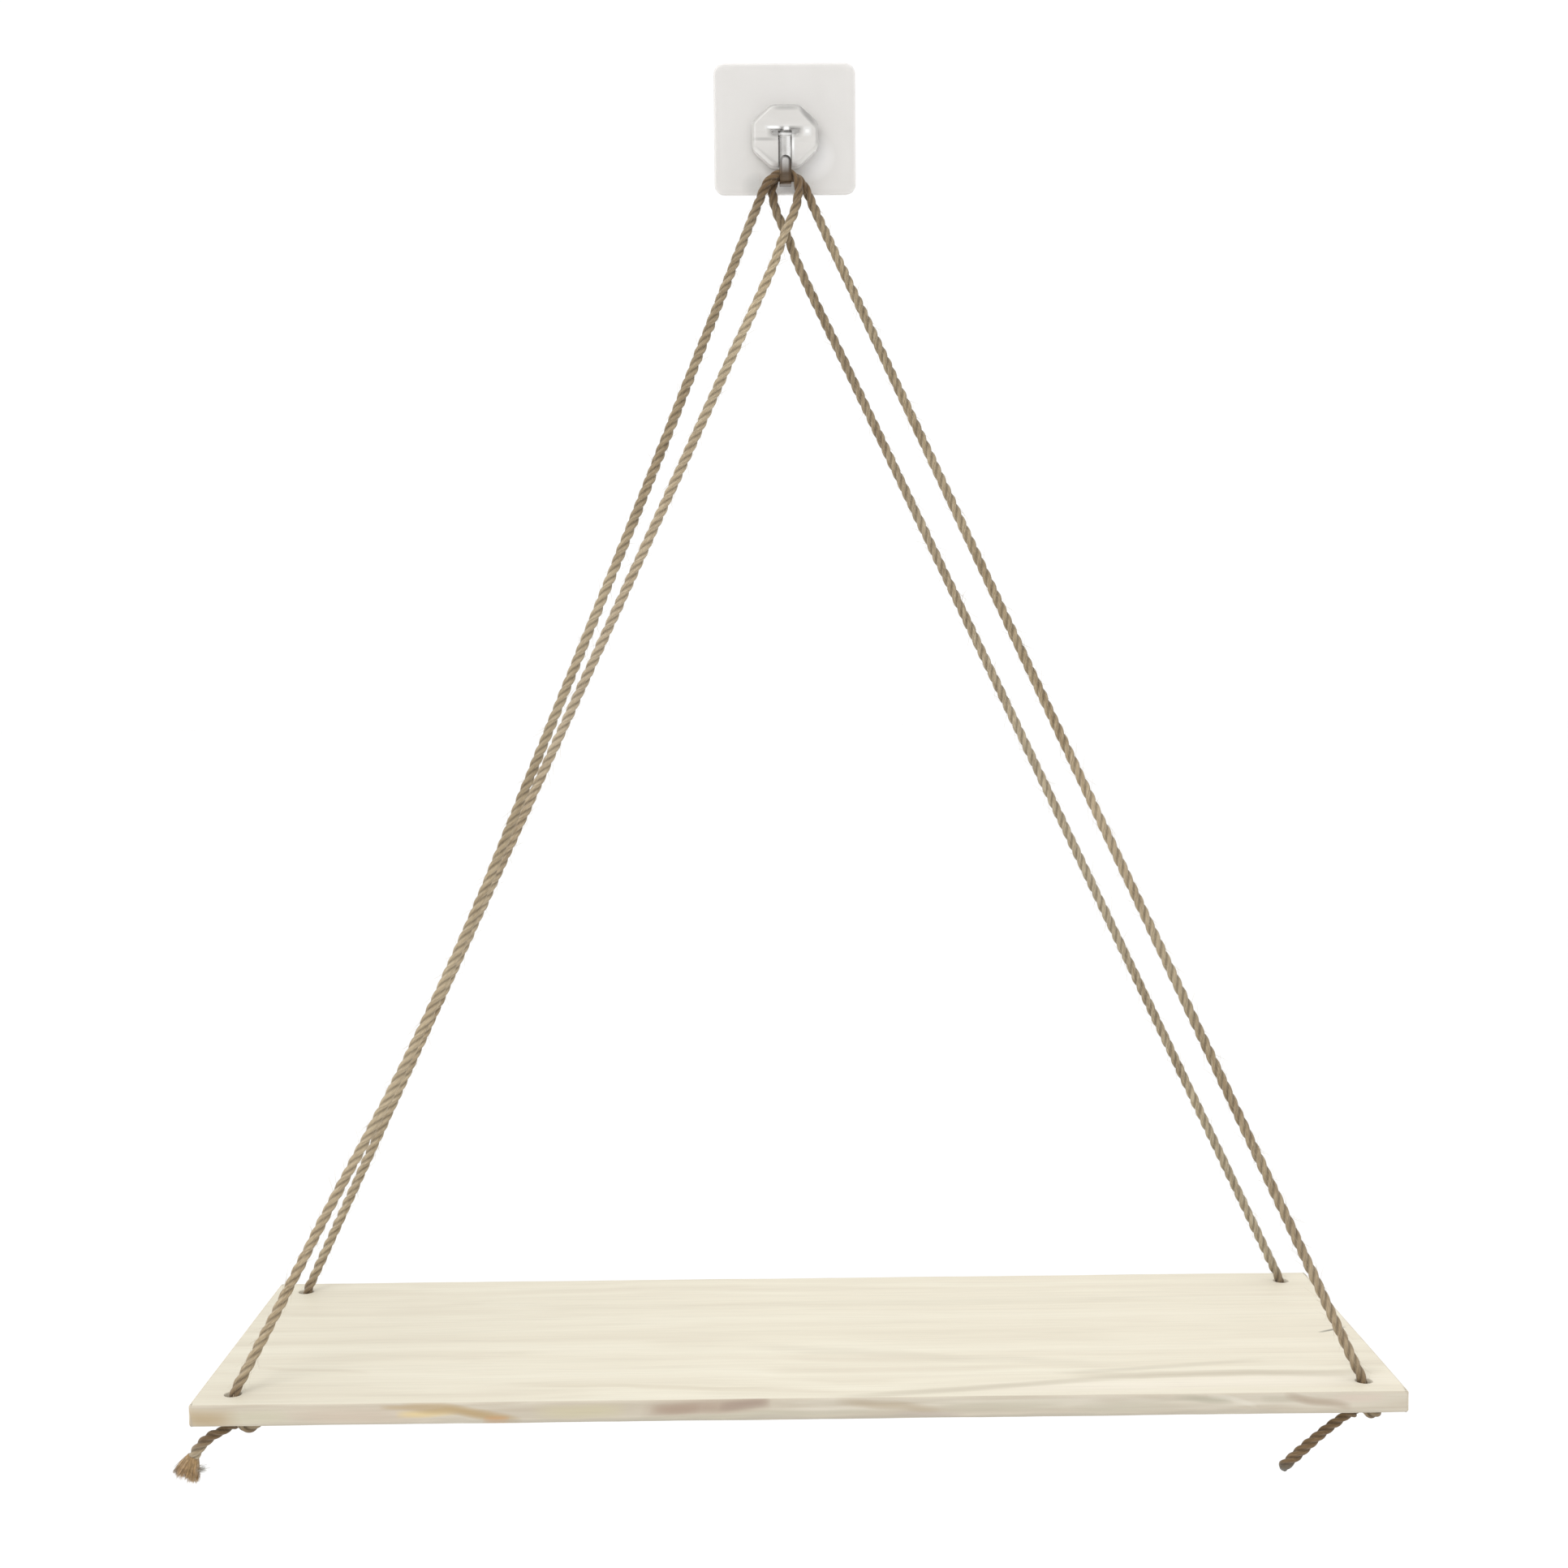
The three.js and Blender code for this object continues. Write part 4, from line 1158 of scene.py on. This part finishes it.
# Places across the brush between which its tones run, and how far a patch of fibres shifts them
fray_left_x = -10 * MM
fray_right_x = 6 * MM
fray_shift = 3 * MM
fray_tones = [
    (0.2, (0.30, 0.225, 0.15)), (0.5, (0.43, 0.275, 0.125)),
    (0.84, (0.47, 0.32, 0.165)), (0.94, (0.40, 0.385, 0.345)),
]
tail_line = knots["left_front"][1]
tail_end = tail_line[-1]
tail_way = unit(tail_end - tail_line[-4])
towards_wall = np.array([0, 1, 0])
tail_side = unit(np.cross(tail_way, towards_wall))


def hair_tubes(roots, ways, lengths, droop, radius, points=5):
    """Thin three-sided tubes. Each starts at its root, runs along its way and bends by its droop with the
    square of the distance, tapering to its end."""
    share = np.linspace(0, 1, points)
    run = lengths[:, None, None] * share[None, :, None]
    line = roots[:, None] + ways[:, None] * run + droop[:, None] * (share**2)[None, :, None]
    aside = unit(np.cross(ways, (0.31, 0.52, 0.79)))
    over = np.cross(ways, aside)
    corner = circle(np.arange(3) * 2 * math.pi / 3)[None, None, :, :, None]
    ring = corner[..., 0, :] * aside[:, None, None] + corner[..., 1, :] * over[:, None, None]
    size = radius[:, None, None] * (1 - 0.75 * share)[None, :, None]
    verts = line[:, :, None] + size[..., None] * ring
    sides = ring_faces(points, 3)
    caps = np.array([(0, 2, 1), (3 * points - 3, 3 * points - 2, 3 * points - 1)])
    step = np.arange(len(roots))[:, None, None] * 3 * points
    faces = (sides[None] + step).reshape(-1, 4).tolist() + (caps[None] + step).reshape(-1, 3).tolist()
    return verts.reshape(-1, 3), faces


def new_fibre(name):
    """A dry fibre's material with its nodes, and a patchy noise that its tone and its gloss follow."""
    material, nodes, shader = new_material(name, Specular_IOR_Level=0.25, Sheen_Weight=0.3)
    place = nodes.coordinates()
    patch = nodes.noise(place, 420.0, 3.0)
    nodes.join(shader, Roughness=nodes.remap(patch, 0.3, 0.7, 0.9, 0.7))
    return material, nodes, shader, place, patch


def make_frayed():
    """Fibres brown on the left, orange in the middle and grey in the tuft on the right."""
    material, nodes, shader, place, patch = new_fibre("frayed_jute")
    beside = nodes.minus(nodes.axes(place)[0], float(tail_end[0]))
    beside = nodes.math("MULTIPLY_ADD", patch, fray_shift, third=beside)
    tone = nodes.ramp(nodes.remap(beside, fray_left_x, fray_right_x), fray_tones)
    nodes.join(shader, Base_Color=nodes.shade(tone, nodes.remap(patch, 0.35, 0.65, 0.75, 1.25)))
    return material


def brush(count, seed):
    """Two lobes of fibres that open out from the tail's end face and curl in at their tips. Each fibre leans
    out by its place across and deep in the face, and those between the lobes are a little shorter."""
    draw = np.random.default_rng(seed)
    across = draw.choice(lobe_shares, count) + draw.normal(0, lobe_scatter_share, count)
    across = np.clip(across, -1, 1)
    deep = draw.uniform(-0.8, 0.8, count) * np.sqrt(1 - 0.9 * across**2)
    out = across[:, None] * tail_side + deep[:, None] * towards_wall
    roots = tail_end + brush_radius * out - brush_depth * tail_way
    lean = opening_share * out + lean_share * tail_side
    ways = unit(tail_way + lean + draw.normal(0, 0.05, (count, 3)))
    fullness = 1 - valley_share + valley_share * np.minimum(np.abs(across) / 0.5, 1)
    lengths = brush_length * draw.uniform(0.88, 1.0, count) * fullness
    curl = -brush_curl * out + draw.normal(0, brush_scatter, (count, 3))
    return roots, ways, lengths, curl, draw.uniform(0.1, 0.22, count) * MM


def tuft(count, seed):
    """A pale wisp that stands out sideways from the brush's right lobe."""
    draw = np.random.default_rng(seed)
    root = tail_end + tuft_drop * tail_way + tuft_aside * tail_side
    roots = root + draw.normal(0, tuft_scatter, (count, 3))
    ways = unit(tail_side - 0.7 * tail_way + draw.normal(0, 0.14, (count, 3)))
    curl = draw.normal(0, tuft_curl, (count, 3))
    lengths = tuft_length * draw.uniform(0.6, 1.0, count)
    return roots, ways, lengths, curl, draw.uniform(0.08, 0.16, count) * MM


fray_hairs = [np.concatenate(pair) for pair in zip(brush(brush_fibres, 4), tuft(tuft_fibres, 5))]
fray = new_piece("frayed_rope_end", *hair_tubes(*fray_hairs), make_frayed())
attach(fray, "sling")
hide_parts("left_frayed_end")

# Loose fibres
# Short hairs that stand off the ropes, as on any cheap jute. They are thinner than a thread and follow the
# rope for most of their length.

fibres_per_rope = 1500
# In millimetres, from least to most
fibre_lengths = (1.5, 6.5)
fibre_radii = (0.03, 0.06)
fibre_root_share = 0.42
straw_tones = [(0.35, (0.34, 0.25, 0.15)), (0.68, (0.66, 0.55, 0.38))]


def make_straw_fibre():
    """Straw-coloured fibre in lighter and darker patches."""
    material, nodes, shader, _, patch = new_fibre("straw_fibre")
    nodes.join(shader, Base_Color=nodes.ramp(patch, straw_tones))
    return material


def loose_fibres(line, count, seed, diameter):
    """Hairs that start near the rope's surface at random places. Each runs forwards or backwards along the
    rope and leans out a little."""
    draw = np.random.default_rng(seed)
    at = draw.integers(4, len(line) - 4, count)
    aside, over = carried_frame(line)
    along = unit(line[at + 1] - line[at - 1])
    angle = draw.uniform(0, 2 * math.pi, count)
    out = np.cos(angle)[:, None] * aside[at] + np.sin(angle)[:, None] * over[at]
    way = draw.choice([-1, 1], count)
    ways = along * way[:, None] + out * draw.uniform(0.12, 0.7, count)[:, None]
    ways = unit(ways + draw.normal(0, 0.15, (count, 3)))
    lengths = draw.uniform(*fibre_lengths, count) * MM
    droop = draw.normal(0, 0.7, (count, 3)) * MM
    roots = line[at] + out * diameter * fibre_root_share
    return roots, ways, lengths, droop, draw.uniform(*fibre_radii, count) * MM


straw = make_straw_fibre()
for seed, (name, (_, line, _)) in enumerate(runs.items(), 20):
    fibres = hair_tubes(*loose_fibres(line, fibres_per_rope, seed, rope_diameter))
    hairs = new_piece(f"{name}_rope_fibres", *fibres, straw)
    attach(hairs, "sling")

# Studio
# A pale floor far below, an even white surround that is brighter from above, and one large soft light.

floor_z = -1.6
floor_reach = 40.0
floor_tone = (0.95, 0.95, 0.945, 1)
surround_from_below = 0.62
surround_from_above = 1.16
surround_seen = 1.03
light_size = 1.4
light_power = 14
light_place = (-0.9, -1.5, 0.9)
light_aim = (0, -0.07, -0.3)


def make_floor():
    """One square face about the origin."""
    material, _, shader = new_material("pale_floor", Roughness=0.8)
    shader.inputs["Base Color"].default_value = floor_tone
    corners = [(x * floor_reach, y * floor_reach, floor_z) for x, y in ((-1, -1), (1, -1), (1, 1), (-1, 1))]
    new_piece("floor", corners, [(0, 1, 2, 3)], material, smooth=False)


def make_surround():
    """White from all round, its strength rising with the height of the direction. The camera sees it just
    white, since a brighter one would eat the edges of the ropes."""
    world = bpy.data.worlds.new("surround")
    bpy.context.scene.world = world
    world.use_nodes = True
    nodes = Nodes(world.node_tree)
    shine = world.node_tree.nodes["Background"]
    shine.inputs["Color"].default_value = (1, 1, 1, 1)
    upward = nodes.axes(nodes.coordinates("Generated"))[2]
    level = nodes.remap(upward, -1.0, 1.0, surround_from_below, surround_from_above)
    seen = nodes.add("ShaderNodeLightPath").outputs["Is Camera Ray"]
    unseen_level = nodes.times(level, nodes.minus(1.0, seen))
    nodes.join(shine, Strength=nodes.plus(unseen_level, nodes.times(seen, surround_seen)))


def make_light():
    """A round soft light behind the camera, above it and to its left, turned to the middle of the ropes."""
    light = bpy.data.lights.new("soft_light", "AREA")
    light.shape = "DISK"
    light.size = light_size
    light.energy = light_power
    lamp = bpy.data.objects.new("soft_light", light)
    lamp.location = light_place
    aim = np.array(light_aim) - np.array(lamp.location)
    lamp.rotation_euler = Vector(aim).to_track_quat("-Z", "Y").to_euler()
    bpy.context.scene.collection.objects.link(lamp)


# Camera
# The photograph's view, found from the board's corners and holes: just below the hook, looking up the ropes.

camera_place = np.array([-11.6, -907.5, -222.4]) * MM
camera_pitch, camera_yaw, camera_roll = np.radians([3.537, -0.565, 0.487])
camera_lens = 48.17
camera_sensor = 36
nearest_seen = 0.01
furthest_seen = 200


def make_camera():
    """Turns a level camera by its yaw, then by its pitch and last by its roll, each time mixing two of its
    directions by the angle's cosine and sine."""
    level = np.array([math.cos(camera_yaw), math.sin(camera_yaw), 0])
    ahead = np.array([-math.sin(camera_yaw), math.cos(camera_yaw), 0])
    sky = np.array([0, 0, 1])
    upright = math.sin(camera_pitch) * ahead + math.cos(camera_pitch) * sky
    forward = math.cos(camera_pitch) * ahead - math.sin(camera_pitch) * sky
    right = math.cos(camera_roll) * level - math.sin(camera_roll) * upright
    up = math.sin(camera_roll) * level + math.cos(camera_roll) * upright
    data = bpy.data.cameras.new("camera")
    data.sensor_width = camera_sensor
    data.lens = camera_lens
    data.clip_start = nearest_seen
    data.clip_end = furthest_seen
    camera = bpy.data.objects.new("camera", data)
    turned_axes = np.column_stack([right, up, -forward, camera_place])
    camera.matrix_world = Matrix(np.vstack([turned_axes, [0, 0, 0, 1]]).tolist())
    bpy.context.scene.collection.objects.link(camera)
    bpy.context.scene.camera = camera


make_floor()
make_surround()
make_light()
make_camera()
bpy.context.scene.view_settings.view_transform = "Standard"
